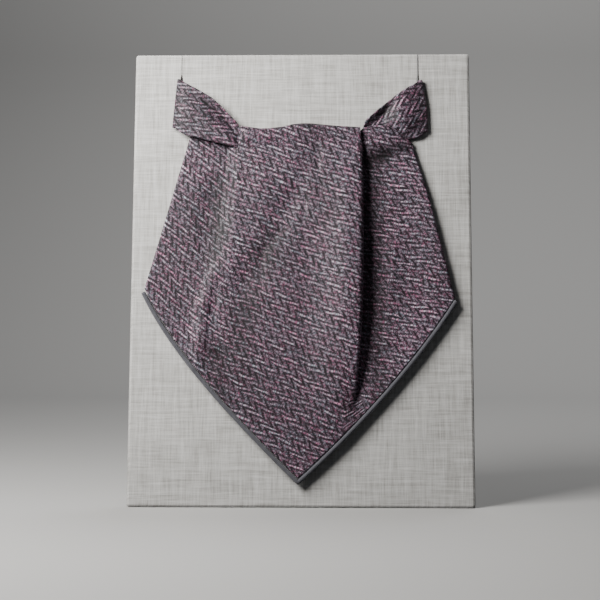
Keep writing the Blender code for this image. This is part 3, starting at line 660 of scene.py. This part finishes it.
def cloth_shell(name, places, weaves, thickness, finish):
    """A thin cloth from rows and columns of places. weaves gives each column of cells its
    weave coordinates, as (first column, coordinates) from left to right."""
    rows, columns = places.shape[:2]
    known = ~np.isnan(places[..., 0])
    index = np.full((rows, columns), -1)
    index[known] = np.arange(known.sum())
    corners = np.stack([index[:-1, :-1], index[:-1, 1:], index[1:, 1:], index[1:, :-1]], -1)
    whole = (corners >= 0).all(-1)
    mesh = bpy.data.meshes.new(name)
    mesh.from_pydata(to_world(places[known]).tolist(), [], corners[whole].tolist())
    coordinates = np.zeros((rows - 1, columns - 1, 4, 2))
    for i, (start, weave) in enumerate(weaves):
        end = weaves[i + 1][0] if i + 1 < len(weaves) else columns - 1
        part = slice(start, end)
        after = slice(start + 1, end + 1)
        coordinates[:, part, 0] = weave[:-1, part]
        coordinates[:, part, 1] = weave[:-1, after]
        coordinates[:, part, 2] = weave[1:, after]
        coordinates[:, part, 3] = weave[1:, part]
    layer = mesh.uv_layers.new(name="weave")
    layer.data.foreach_set("uv", (coordinates[whole] / WEAVE_UNIT).astype(np.float32).ravel())
    # Painted shade and painted highlight, as a factor on the silk's colour at each place.
    painted_light_and_shade = mesh.attributes.new("painted_light_and_shade", "FLOAT", "POINT")
    painted_light_factor = 1 + added(PAINTED_LIGHT_AND_SHADE, "share", places[known][:, 0], places[known][:, 1])
    painted_light_and_shade.data.foreach_set("value", painted_light_factor.astype(np.float32))
    mesh.update()
    mesh.shade_smooth()
    obj = bpy.data.objects.new(name, mesh)
    bpy.context.scene.collection.objects.link(obj)
    wall = obj.modifiers.new("wall", "SOLIDIFY")
    wall.thickness = thickness * MM
    wall.offset = 0.0
    wall.use_quality_normals = True
    apply_modifiers(obj)
    obj.data.materials.append(finish)
    return obj


def apply_modifiers(obj):
    bpy.ops.object.select_all(action="DESELECT")
    bpy.context.view_layer.objects.active = obj
    obj.select_set(True)
    for modifier in list(obj.modifiers):
        bpy.ops.object.modifier_apply(modifier=modifier.name)
    obj.select_set(False)


def ear_section(rows, along, up):
    """An ear's height above the board, from its lower edge (up 0) to its rim (up 1)."""
    names = ("low_w", "body_w", "crease_at", "crease_w", "rim_w")
    low, body, at, crease, rim = (float(eased(rows, "along", name, along)) for name in names)
    section = table("up  w", (0.0, low), (at * BODY_AT, body), (at, crease), (1.0, rim))
    return eased(section, "up", "w", up)


def fold_path(front_w, out, slit):
    """Round the outer fold, in under the ear, through the slit and on to the back, as
    (distance out, w)."""
    outermost = out - EAR_THICK / 2
    radius = (front_w - RETURN_W) / 2
    centre_w = (front_w + RETURN_W) / 2
    path = []
    for i in range(FOLD_STEPS):
        angle = math.pi * (0.5 - (i + 1) / FOLD_STEPS)
        inwards = radius * (1 - math.cos(angle))
        path.append((outermost - inwards, centre_w + radius * math.sin(angle)))
    angles = [math.pi / 2 * i / BEND_STEPS for i in range(BEND_STEPS + 1)]
    for angle in angles:
        sunk = SLIT_BEND * (1 - math.cos(angle))
        path.append((slit + SLIT_BEND * (1 - math.sin(angle)), RETURN_W - sunk))
    for angle in angles:
        risen = BACK_BEND * (1 - math.sin(angle))
        path.append((slit - BACK_BEND * (1 - math.cos(angle)), BACK_W + risen))
    for i in range(SEAM_STEPS):
        path.append((slit - mix(BACK_BEND, SEAM_IN, (i + 1) / SEAM_STEPS), BACK_W))
    return path


def ear_places(rows, fold, slit, side):
    """An ear as rows up its height and columns from the hidden end outwards."""
    hidden = np.linspace(0, EAR_EMERGES, EAR_HIDDEN_STEPS, endpoint=False)
    alongs = np.concatenate([hidden, np.linspace(EAR_EMERGES, 1, EAR_SHOWN_STEPS)])
    ups = np.linspace(0, 1, EAR_ROWS + 1)
    outs = eased(fold, "up", "out", ups)
    front = ear_section(rows, 1.0, ups)
    columns = []
    for along in alongs:
        low, high = (eased(rows, "along", name, along) for name in ("low_v", "high_v"))
        u = mix(EAR_INNER, outs - EAR_THICK / 2 - (front - RETURN_W) / 2, along)
        columns.append(np.stack([side * u, mix(low, high, ups), ear_section(rows, along, ups)], -1))
    last_v = columns[-1][:, 1]
    paths = np.array([fold_path(w, out, slit) for w, out in zip(front, outs)])
    for step in range(paths.shape[1]):
        columns.append(np.stack([side * paths[:, step, 0], last_v, paths[:, step, 1]], -1))
    return np.stack(columns, 1), len(alongs)


def ear(name, rows, fold, slit, side, stripes, finish):
    places, shown = ear_places(rows, fold, slit, side)
    cloth = places[..., :2].copy()
    beyond = np.linalg.norm(np.diff(places[:, shown - 1 :], axis=1), axis=-1).cumsum(1)
    cloth[:, shown:, 0] = places[:, shown - 1 : shown, 0] + side * beyond
    weave = turned(cloth, *stripes)
    return cloth_shell(name, places, [(0, weave)], EAR_THICK, finish)


def neckband(finish):
    """The flat band across the board's back, from one ear's seam to the other's."""
    left, right = LEFT_EAR, RIGHT_EAR
    start = np.array((-(LEFT_SLIT - SEAM_IN - GAP), left["low_v"][-1], left["high_v"][-1]))
    end = np.array((RIGHT_SLIT - SEAM_IN - GAP, right["low_v"][-1], right["high_v"][-1]))
    t = np.linspace(0, 1, NECKBAND_COLUMNS + 1)[None, :]
    up = np.linspace(0, 1, NECKBAND_ROWS + 1)[:, None]
    u, low, high = (mix(a, b, t) for a, b in zip(start, end))
    pinch = NECKBAND_PINCH * np.sin(math.pi * t)
    v = mix(low + pinch, high - pinch, up)
    places = np.stack(np.broadcast_arrays(u, v, BACK_W), -1).astype(float)
    weave = turned(places[..., :2], *STRIPES_NECKBAND)
    return cloth_shell("neckband_silk", places, [(0, weave)], EAR_THICK, finish)


def nodes_for(name):
    """A new material, with its tree and its Principled shader."""
    made = bpy.data.materials.new(name)
    made.use_nodes = True
    return made, made.node_tree, made.node_tree.nodes["Principled BSDF"]


def put(tree, socket, value):
    """Sets a socket to a number or links it to another socket."""
    if isinstance(value, bpy.types.NodeSocket):
        tree.links.new(value, socket)
    else:
        socket.default_value = value


def calc(tree, operation, *values):
    node = tree.nodes.new("ShaderNodeMath")
    node.operation = operation
    for socket, value in zip(node.inputs, values):
        put(tree, socket, value)
    return node.outputs[0]


def plus(tree, a, b):
    return calc(tree, "ADD", a, b)


def minus(tree, a, b):
    return calc(tree, "SUBTRACT", a, b)


def times(tree, a, b):
    return calc(tree, "MULTIPLY", a, b)


def either(tree, which, a, b):
    """The first value where which is 1 and the second where it is 0."""
    return plus(tree, times(tree, which, a), times(tree, minus(tree, 1.0, which), b))


def averaged(tree, a, b, share=0.5):
    """Two values mixed, the first by this share."""
    return plus(tree, times(tree, a, share), times(tree, b, 1.0 - share))


def spread(tree, value, low, high, to_low=0.0, to_high=1.0):
    """A smooth step of a value from one range to another."""
    node = tree.nodes.new("ShaderNodeMapRange")
    node.interpolation_type = "SMOOTHSTEP"
    names = ("Value", "From Min", "From Max", "To Min", "To Max")
    for name, setting in zip(names, (value, low, high, to_low, to_high)):
        put(tree, node.inputs[name], setting)
    return node.outputs[0]


def joined(tree, x, y, z=0.0):
    node = tree.nodes.new("ShaderNodeCombineXYZ")
    for socket, value in zip(node.inputs, (x, y, z)):
        put(tree, socket, value)
    return node.outputs[0]


def noise(tree, vector, scale, detail=2.0, roughness=0.5):
    node = tree.nodes.new("ShaderNodeTexNoise")
    put(tree, node.inputs["Vector"], vector)
    node.inputs["Scale"].default_value = scale
    node.inputs["Detail"].default_value = detail
    node.inputs["Roughness"].default_value = roughness
    return node.outputs["Fac"]


def chance(tree, x, y, seed):
    """A number from 0 to 1 that is the same all over each stroke."""
    node = tree.nodes.new("ShaderNodeTexWhiteNoise")
    node.noise_dimensions = "3D"
    put(tree, node.inputs["Vector"], joined(tree, x, y, seed))
    return node.outputs["Value"]


def colours(tree, value, *stops):
    node = tree.nodes.new("ShaderNodeValToRGB")
    ramp_ = node.color_ramp
    while len(ramp_.elements) < len(stops):
        ramp_.elements.new(0.5)
    for element, (position, colour) in zip(ramp_.elements, stops):
        element.position = position
        element.color = (*colour, 1.0)
    put(tree, node.inputs["Fac"], value)
    return node.outputs["Color"]


def tinted(tree, colour, tint, share=1.0):
    """A colour multiplied by another, by this share."""
    node = tree.nodes.new("ShaderNodeMix")
    node.data_type = "RGBA"
    node.blend_type = "MULTIPLY"
    put(tree, node.inputs[0], share)
    put(tree, node.inputs[6], colour)
    put(tree, node.inputs[7], (*tint, 1.0) if isinstance(tint, tuple) else tint)
    return node.outputs[2]


def bump(tree, height, distance, strength=1.0):
    node = tree.nodes.new("ShaderNodeBump")
    node.inputs["Distance"].default_value = distance
    node.inputs["Strength"].default_value = strength
    put(tree, node.inputs["Height"], height)
    return node.outputs["Normal"]


def weave_place(tree):
    """Places along and across a cloth's weave, in mm."""
    source = tree.nodes.new("ShaderNodeUVMap")
    source.uv_map = "weave"
    parted = tree.nodes.new("ShaderNodeSeparateXYZ")
    tree.links.new(source.outputs["UV"], parted.inputs[0])
    return tuple(times(tree, parted.outputs[name], WEAVE_UNIT) for name in ("X", "Y"))


def surfaced(tree, shader, base, roughness, normal, specular):
    tree.links.new(base, shader.inputs["Base Color"])
    tree.links.new(roughness, shader.inputs["Roughness"])
    tree.links.new(normal, shader.inputs["Normal"])
    shader.inputs["Specular IOR Level"].default_value = specular


def sheened(shader, weight, roughness):
    shader.inputs["Sheen Weight"].default_value = weight
    shader.inputs["Sheen Roughness"].default_value = roughness


# The herringbone, in mm: how far apart its strokes and its pairs of stripes repeat, how much
# of a pair is the wide stripe, and how many strokes each stripe runs through.
STROKE_REPEAT = 5.85
STRIPE_PAIR = 6.08
WIDE_SHARE = 0.586
WIDE_RUN = 1.4
NARROW_RUN = 0.9

# The angles that the yarns take in the two kinds of stripe, and their floats.
WIDE_TURN = math.radians(23.5)
NARROW_TURN = math.radians(24.5)
FLOAT_LENGTH = 0.55
YARNS_IN_A_STROKE = 3.0

# How the weave wanders: each wander's seed, its fineness and its reach in mm.
DRIFT = (0.0, 0.06, 4.0)
SHAKE = (5.0, 0.30, 0.8)
SLIDE = (9.0, 0.35, 1.2)

# How light the two kinds of stripe are, how far strokes, floats and threads swing from
# that, and how much one stroke differs from the next.
WIDE_MIDDLE = 0.485
WIDE_SWING = 0.26
NARROW_MIDDLE = 0.53
NARROW_SWING = 0.35
FLOAT_SWING = 0.52
THREAD_SWING = 0.20
WEAKEST_STROKE = 0.6
STROKES_DIFFER = 0.8
SILK_TONES = (
    (0.0, (0.0080, 0.0042, 0.0080)),
    (0.2, (0.0235, 0.0148, 0.0225)),
    (0.5, (0.111, 0.0765, 0.104)),
    (0.8, (0.400, 0.300, 0.382)),
    (1.0, (0.92, 0.78, 0.90)),
)
ROSY = (1.22, 0.56, 0.78)
BLUISH = (0.70, 1.06, 1.0)
CLOUDY_TONES = ((0.3, (0.88, 0.87, 0.88)), (0.7, (1.0, 1.0, 1.0)))

CORD_RIB = 0.42
CORD_TONES = (
    (0.2, (0.066, 0.066, 0.078)),
    (0.55, (0.099, 0.099, 0.115)),
    (0.9, (0.15, 0.148, 0.167)),
)

# How closely the linen's threads and slubs vary along and across their own way.
THREAD_FINENESS = (0.06, 1.25)
SLUB_FINENESS = (0.03, 0.42)
LINEN_TONES = (
    (0.36, (0.39, 0.377, 0.355)),
    (0.5, (0.66, 0.65, 0.625)),
    (0.64, (0.92, 0.91, 0.89)),
)


def wander(tree, along, across, seed, fineness, reach):
    """A slow wander to either side, in mm."""
    drawn = noise(tree, joined(tree, along, across, seed), fineness, 1.0)
    return times(tree, minus(tree, drawn, 0.5), reach)


def stroke_chart(tree, along, across):
    """Where a place lies in the herringbone: 1 in a wide stripe and 0 in a narrow one, the
    stripe's number, and the number of strokes before it."""
    shifts = [wander(tree, along, across, *way) for way in (DRIFT, SHAKE)]
    moved = plus(tree, across, plus(tree, *shifts))
    slid = plus(tree, along, wander(tree, along, across, *SLIDE))
    pairs = calc(tree, "DIVIDE", moved, STRIPE_PAIR)
    stripe = calc(tree, "FLOOR", pairs)
    share = calc(tree, "FRACT", pairs)
    wide = calc(tree, "LESS_THAN", share, WIDE_SHARE)
    falling = NARROW_RUN / (1 - WIDE_SHARE)
    rise = times(tree, share, WIDE_RUN / WIDE_SHARE)
    fall = minus(tree, WIDE_RUN + falling * WIDE_SHARE, times(tree, share, falling))
    zigzag = calc(tree, "MINIMUM", rise, fall)
    shift = plus(tree, zigzag, times(tree, stripe, WIDE_RUN - NARROW_RUN))
    phase = minus(tree, calc(tree, "DIVIDE", slid, STROKE_REPEAT), shift)
    return wide, plus(tree, times(tree, stripe, 2.0), wide), phase


def stroke_tones(tree, wide, row, phase):
    """The light and the tint of each stroke: pale swells in the wide stripes, dark hollows
    in the narrow ones."""
    stroke = calc(tree, "FLOOR", phase)
    wave = times(tree, calc(tree, "COSINE", times(tree, phase, 2 * math.pi)), -1.0)
    lit = times(tree, chance(tree, row, stroke, 1.0), STROKES_DIFFER)
    strong = plus(tree, WEAKEST_STROKE, lit)
    pale = plus(tree, WIDE_MIDDLE, times(tree, times(tree, wave, WIDE_SWING), strong))
    hollow = spread(tree, wave, -0.8, 0.3, 1.0, 0.0)
    dark = minus(tree, NARROW_MIDDLE, times(tree, times(tree, hollow, NARROW_SWING), strong))
    return either(tree, wide, pale, dark), chance(tree, row, stroke, 2.0)


def along_yarn(tree, along, across, turn, add):
    """How far along a yarn of this angle a place lies."""
    return add(tree, times(tree, along, math.cos(turn)), times(tree, across, math.sin(turn)))


def float_tones(tree, run, row, phase):
    """The light and the tint of each single float, and the threads' unevenness."""
    yarn = calc(tree, "FLOOR", times(tree, phase, YARNS_IN_A_STROKE))
    staggered = plus(tree, calc(tree, "DIVIDE", run, FLOAT_LENGTH), times(tree, yarn, 0.5))
    single = calc(tree, "FLOOR", staggered)
    yarn_row = plus(tree, yarn, times(tree, row, 13.0))
    light = minus(tree, chance(tree, yarn_row, single, 5.0), 0.5)
    uneven = joined(tree, times(tree, phase, 3.0), times(tree, run, 0.5), 3.0)
    thread = minus(tree, noise(tree, uneven, 1.3, 2.0), 0.5)
    return light, chance(tree, yarn_row, single, 9.0), thread


def herringbone_silk():
    """Bias-cut herringbone: wide stripes of pale fine strokes, narrow ones of dark steep
    strokes, each stroke three yarns wide and broken up by single floats."""
    made, tree, shader = nodes_for("herringbone_silk")
    along, across = weave_place(tree)
    wide, row, phase = stroke_chart(tree, along, across)
    strokes, stroke_tint = stroke_tones(tree, wide, row, phase)
    run_wide = along_yarn(tree, along, across, WIDE_TURN, plus)
    run_narrow = along_yarn(tree, along, across, NARROW_TURN, minus)
    run = either(tree, wide, run_wide, run_narrow)
    float_light, float_tint, thread = float_tones(tree, run, row, phase)
    value = plus(tree, strokes, times(tree, float_light, FLOAT_SWING))
    value = plus(tree, value, times(tree, thread, THREAD_SWING))
    base = colours(tree, value, *SILK_TONES)
    hue = averaged(tree, float_tint, stroke_tint, 0.75)
    base = tinted(tree, base, ROSY, spread(tree, hue, 0.60, 0.90))
    base = tinted(tree, base, BLUISH, spread(tree, hue, 0.40, 0.08))
    clouds = noise(tree, joined(tree, along, across, 20.0), 0.035, 3.0)
    base = tinted(tree, base, colours(tree, clouds, *CLOUDY_TONES))
    # The painted shade and painted highlight from the cloth's attribute, multiplied into the
    # colour.
    painted_light_and_shade = tree.nodes.new("ShaderNodeAttribute")
    painted_light_and_shade.attribute_name = "painted_light_and_shade"
    base = tinted(tree, base, painted_light_and_shade.outputs["Color"])
    roughness = spread(tree, value, 0.2, 0.8, 0.62, 0.42)
    surfaced(tree, shader, base, roughness, bump(tree, value, 0.0003, 0.5), 0.35)
    sheened(shader, 0.10, 0.4)
    return made


def ribbed_binding():
    """Grey ribbed cord, with its ribs across its length."""
    made, tree, shader = nodes_for("ribbed_binding")
    along, around = weave_place(tree)
    twisted = plus(tree, calc(tree, "DIVIDE", along, CORD_RIB), times(tree, around, 0.5))
    rib = calc(tree, "PINGPONG", twisted, 1.0)
    worn = noise(tree, joined(tree, along, around), 0.35, 3.0)
    share = averaged(tree, rib, worn, 0.35)
    roughness = spread(tree, share, 0.0, 1.0, 0.85, 0.7)
    normal = bump(tree, share, 0.0002, 0.6)
    surfaced(tree, shader, colours(tree, share, *CORD_TONES), roughness, normal, 0.25)
    sheened(shader, 0.25, 0.6)
    return made


def linen_way(tree, u, v, fineness, seed, *noise_settings):
    """Noise drawn out along one way of the linen, more along u or more along v."""
    place = joined(tree, times(tree, u, fineness[0]), times(tree, v, fineness[1]), seed)
    return noise(tree, place, 1.0, *noise_settings)


def board_linen(name, lean):
    """Pale slubby linen, woven square to the board."""
    made, tree, shader = nodes_for(name)
    source = tree.nodes.new("ShaderNodeTexCoord")
    level = tree.nodes.new("ShaderNodeMapping")
    level.inputs["Rotation"].default_value = (lean, 0.0, 0.0)
    level.inputs["Scale"].default_value = (1 / MM, 1 / MM, 1 / MM)
    tree.links.new(source.outputs["Object"], level.inputs["Vector"])
    parted = tree.nodes.new("ShaderNodeSeparateXYZ")
    tree.links.new(level.outputs[0], parted.inputs[0])
    u = plus(tree, parted.outputs["X"], parted.outputs["Y"])
    v = plus(tree, parted.outputs["Z"], parted.outputs["Y"])
    weft = linen_way(tree, u, v, THREAD_FINENESS, 1.0, 3.0, 0.65)
    warp = linen_way(tree, u, v, THREAD_FINENESS[::-1], 2.0, 3.0, 0.65)
    thick = linen_way(tree, u, v, SLUB_FINENESS, 3.0, 2.0)
    tall = linen_way(tree, u, v, SLUB_FINENESS[::-1], 4.0, 2.0)
    woven = averaged(tree, averaged(tree, weft, warp), averaged(tree, thick, tall), 0.6)
    roughness = spread(tree, woven, 0.3, 0.7, 0.95, 0.8)
    normal = bump(tree, woven, 0.0006, 0.5)
    surfaced(tree, shader, colours(tree, woven, *LINEN_TONES), roughness, normal, 0.2)
    return made


def lower_edge_w(u):
    """The blade's height at its lower edge."""
    ridge_u, start_u = float(line("ridge_u", 1.0)), float(knife_start(1.0))
    across, _, _ = pleat_shape(np.ones(1))
    foot_u = start_u + float(across[0, -1])
    left_end, tip_u, right_end = LEFT_LOWER[0][0], LEFT_LOWER[3][0], RIGHT_LOWER[0][0]
    left_w, ridge_w, middle_w, knife_w, foot_w, right_w = (
        line(name, 1.0)
        for name in ("left_w", "ridge_w", "middle_w", "knife_w", "foot_w", "right_w")
    )
    if u < ridge_u:
        span = (u - left_end) / (ridge_u - left_end)
        rise = ramp((span - RIDGE_FOOT_BOTTOM) / (1 - RIDGE_FOOT_BOTTOM))
        base = mix(left_w, ridge_w, rise)
    elif u < tip_u:
        base = mix(ridge_w, middle_w, ramp((u - ridge_u) / (tip_u - ridge_u)))
    elif u < start_u:
        base = mix(middle_w, knife_w, ramp((u - tip_u) / (start_u - tip_u)))
    elif u < foot_u:
        base = mix(knife_w, foot_w, (u - start_u) / (foot_u - start_u))
    else:
        base = mix(foot_w, right_w, ramp((u - foot_u) / (right_end - foot_u)))
    return float(base + creased(np.array(u), lower_edge_v(np.array(u))))


def cord_rings():
    """Rings of places round the cord, from its left end to its right end, and how far along
    it each ring lies."""
    left = edge_curve(LEFT_CORNER, LEFT_TOP, LEFT_HANDLES, BINDING_RADIUS)
    right = edge_curve(RIGHT_CORNER, RIGHT_TOP, RIGHT_HANDLES, BINDING_RADIUS)
    route = []
    for outer, inner, ts in (
        (left, LEFT_LOWER, np.linspace(0, 1, CORD_STEPS)),
        (right, RIGHT_LOWER, np.linspace(1, 0, CORD_STEPS)[1:]),
    ):
        route += [(*on_curve(outer, t), lower_edge_w(on_curve(inner, t)[0])) for t in ts]
    route = np.array(route)
    forward = np.gradient(route, axis=0)
    forward /= np.linalg.norm(forward, axis=1)[:, None]
    sideways = np.cross(forward, np.array((0.0, 0.0, 1.0)))
    sideways /= np.linalg.norm(sideways, axis=1)[:, None]
    lift = np.cross(sideways, forward)
    angles = 2 * math.pi * np.arange(CORD_SIDES)[None, :, None] / CORD_SIDES
    round_it = np.cos(angles) * sideways[:, None] + np.sin(angles) * lift[:, None]
    length = np.concatenate([[0], np.linalg.norm(np.diff(route, axis=0), axis=1).cumsum()])
    return route[:, None] + BINDING_RADIUS * round_it, length


def corded_edge(finish):
    """The binding along the blade's two lower edges, a closed round cord."""
    places, length = cord_rings()
    side = 2 * math.pi * BINDING_RADIUS / CORD_SIDES
    shape = bmesh.new()
    weave = shape.loops.layers.uv.new("weave")
    rings = [[shape.verts.new(place) for place in to_world(ring)] for ring in places]
    for i in range(len(rings) - 1):
        for j in range(CORD_SIDES):
            k = (j + 1) % CORD_SIDES
            face = shape.faces.new([rings[i][j], rings[i][k], rings[i + 1][k], rings[i + 1][j]])
            ends = ((i, j), (i, j + 1), (i + 1, j + 1), (i + 1, j))
            for loop, (a, b) in zip(face.loops, ends):
                loop[weave].uv = (length[a] / WEAVE_UNIT, b * side / WEAVE_UNIT)
    for ring in (rings[0], rings[-1]):
        shape.faces.new(ring)
    bmesh.ops.recalc_face_normals(shape, faces=shape.faces)
    mesh = bpy.data.meshes.new("corded_edge")
    shape.to_mesh(mesh)
    shape.free()
    mesh.shade_smooth()
    obj = bpy.data.objects.new("corded_edge", mesh)
    bpy.context.scene.collection.objects.link(obj)
    obj.data.materials.append(finish)
    return obj


def blade(finish):
    places, cloth, starts = blade_places()
    weaves = [
        (0, turned(cloth, *STRIPES_LEFT)),
        (starts[1], turned(cloth, *STRIPES_CENTRE)),
        (starts[4], turned(cloth, *STRIPES_RIGHT)),
    ]
    return cloth_shell("blade_silk", places, weaves, SILK_THICK, finish)


# The paper floor and its sweep up to the backdrop, in metres.
FLOOR_FRONT = -2.4
FLOOR_BACK = 0.9
FLOOR_SIDE = 3.0
SWEEP_RADIUS = 0.5
SWEEP_STEPS = 16
BACKDROP_TOP = 2.6

# Each light: its place and aim, its size, its power and its colour.
CRAVAT_MIDDLE = (0.0, 0.0, 0.14)
LIGHTS = (
    ("key", (-0.32, -0.235, 0.42), CRAVAT_MIDDLE, 0.28, 4.9, (1.0, 0.985, 0.96)),
    ("fill", (0.9, -1.1, 0.7), CRAVAT_MIDDLE, 1.2, 0.3, (0.95, 0.97, 1.0)),
    ("behind", (0.3, 0.75, 1.6), (0.3, 1.2, 0.3), 0.8, 14.0, (1.0, 1.0, 1.0)),
)
ROOM_COLOUR = (0.9, 0.93, 1.0, 1.0)
ROOM_STRENGTH = 0.03

# Where the camera stands, how far it is turned to the left and its lens.
CAMERA_PLACE = (0.0194, -0.8138, 0.1189)
CAMERA_TURN = math.radians(1.39)
CAMERA_LENS = 85.0
SENSOR_WIDTH = 36.0


def paper_floor():
    """A pale floor that sweeps up behind into a backdrop."""
    made, _, shader = nodes_for("pale_paper")
    shader.inputs["Base Color"].default_value = (0.50, 0.495, 0.485, 1.0)
    shader.inputs["Roughness"].default_value = 0.9
    profile = [(FLOOR_FRONT, 0.0), (FLOOR_BACK, 0.0)]
    for i in range(SWEEP_STEPS):
        angle = math.pi / 2 * (i + 1) / SWEEP_STEPS
        back = FLOOR_BACK + SWEEP_RADIUS * math.sin(angle)
        profile.append((back, SWEEP_RADIUS * (1 - math.cos(angle))))
    profile.append((FLOOR_BACK + SWEEP_RADIUS, BACKDROP_TOP))
    points = [(x, y, z) for y, z in profile for x in (-FLOOR_SIDE, FLOOR_SIDE)]
    faces = [(2 * i, 2 * i + 1, 2 * i + 3, 2 * i + 2) for i in range(len(profile) - 1)]
    mesh = bpy.data.meshes.new("floor")
    mesh.from_pydata(points, [], faces)
    mesh.shade_smooth()
    obj = bpy.data.objects.new("floor", mesh)
    obj.data.materials.append(made)
    bpy.context.scene.collection.objects.link(obj)
    obj.visible_diffuse = False


def soft_light(name, place, aim, size, power, colour):
    lamp = bpy.data.lights.new(name, "AREA")
    lamp.shape = "SQUARE"
    lamp.size = size
    lamp.energy = power
    lamp.color = colour
    obj = bpy.data.objects.new(name, lamp)
    obj.location = place
    obj.rotation_euler = (Vector(aim) - Vector(place)).to_track_quat("-Z", "Y").to_euler()
    bpy.context.scene.collection.objects.link(obj)


def faint_room_light():
    world = bpy.data.worlds.new("studio")
    bpy.context.scene.world = world
    world.use_nodes = True
    background = world.node_tree.nodes["Background"]
    background.inputs["Color"].default_value = ROOM_COLOUR
    background.inputs["Strength"].default_value = ROOM_STRENGTH


def photographed():
    lens = bpy.data.cameras.new("camera")
    lens.lens = CAMERA_LENS
    lens.sensor_width = SENSOR_WIDTH
    obj = bpy.data.objects.new("camera", lens)
    obj.location = CAMERA_PLACE
    obj.rotation_euler = (math.pi / 2, 0.0, CAMERA_TURN)
    bpy.context.scene.collection.objects.link(obj)
    bpy.context.scene.camera = obj


def dressed(obj, node):
    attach(obj, "root")
    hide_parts(node)
    return obj


def wrapped(node, finish):
    """Gives a node that shows as it is packed its finish."""
    slots = bpy.data.objects[node].data.materials
    slots.clear()
    slots.append(finish)


def build():
    silk = herringbone_silk()
    front = dressed(blade(silk), "apron")
    left = ear("ear_left_silk", LEFT_EAR, LEFT_FOLD, LEFT_SLIT, -1, STRIPES_LEFT_EAR, silk)
    right = ear("ear_right_silk", RIGHT_EAR, RIGHT_FOLD, RIGHT_SLIT, 1, STRIPES_RIGHT_EAR, silk)
    dressed(left, "ear_left")
    dressed(right, "ear_right")
    band = dressed(neckband(silk), "neckband")
    cord = dressed(corded_edge(ribbed_binding()), "binding")
    wrapped("board", board_linen("board_linen", BOARD_LEAN))
    upright = board_linen("bracket_linen", 0.0)
    wrapped("bracket_left", upright)
    wrapped("bracket_right", upright)
    paper_floor()
    for light in LIGHTS:
        soft_light(*light)
    faint_room_light()
    photographed()


build()
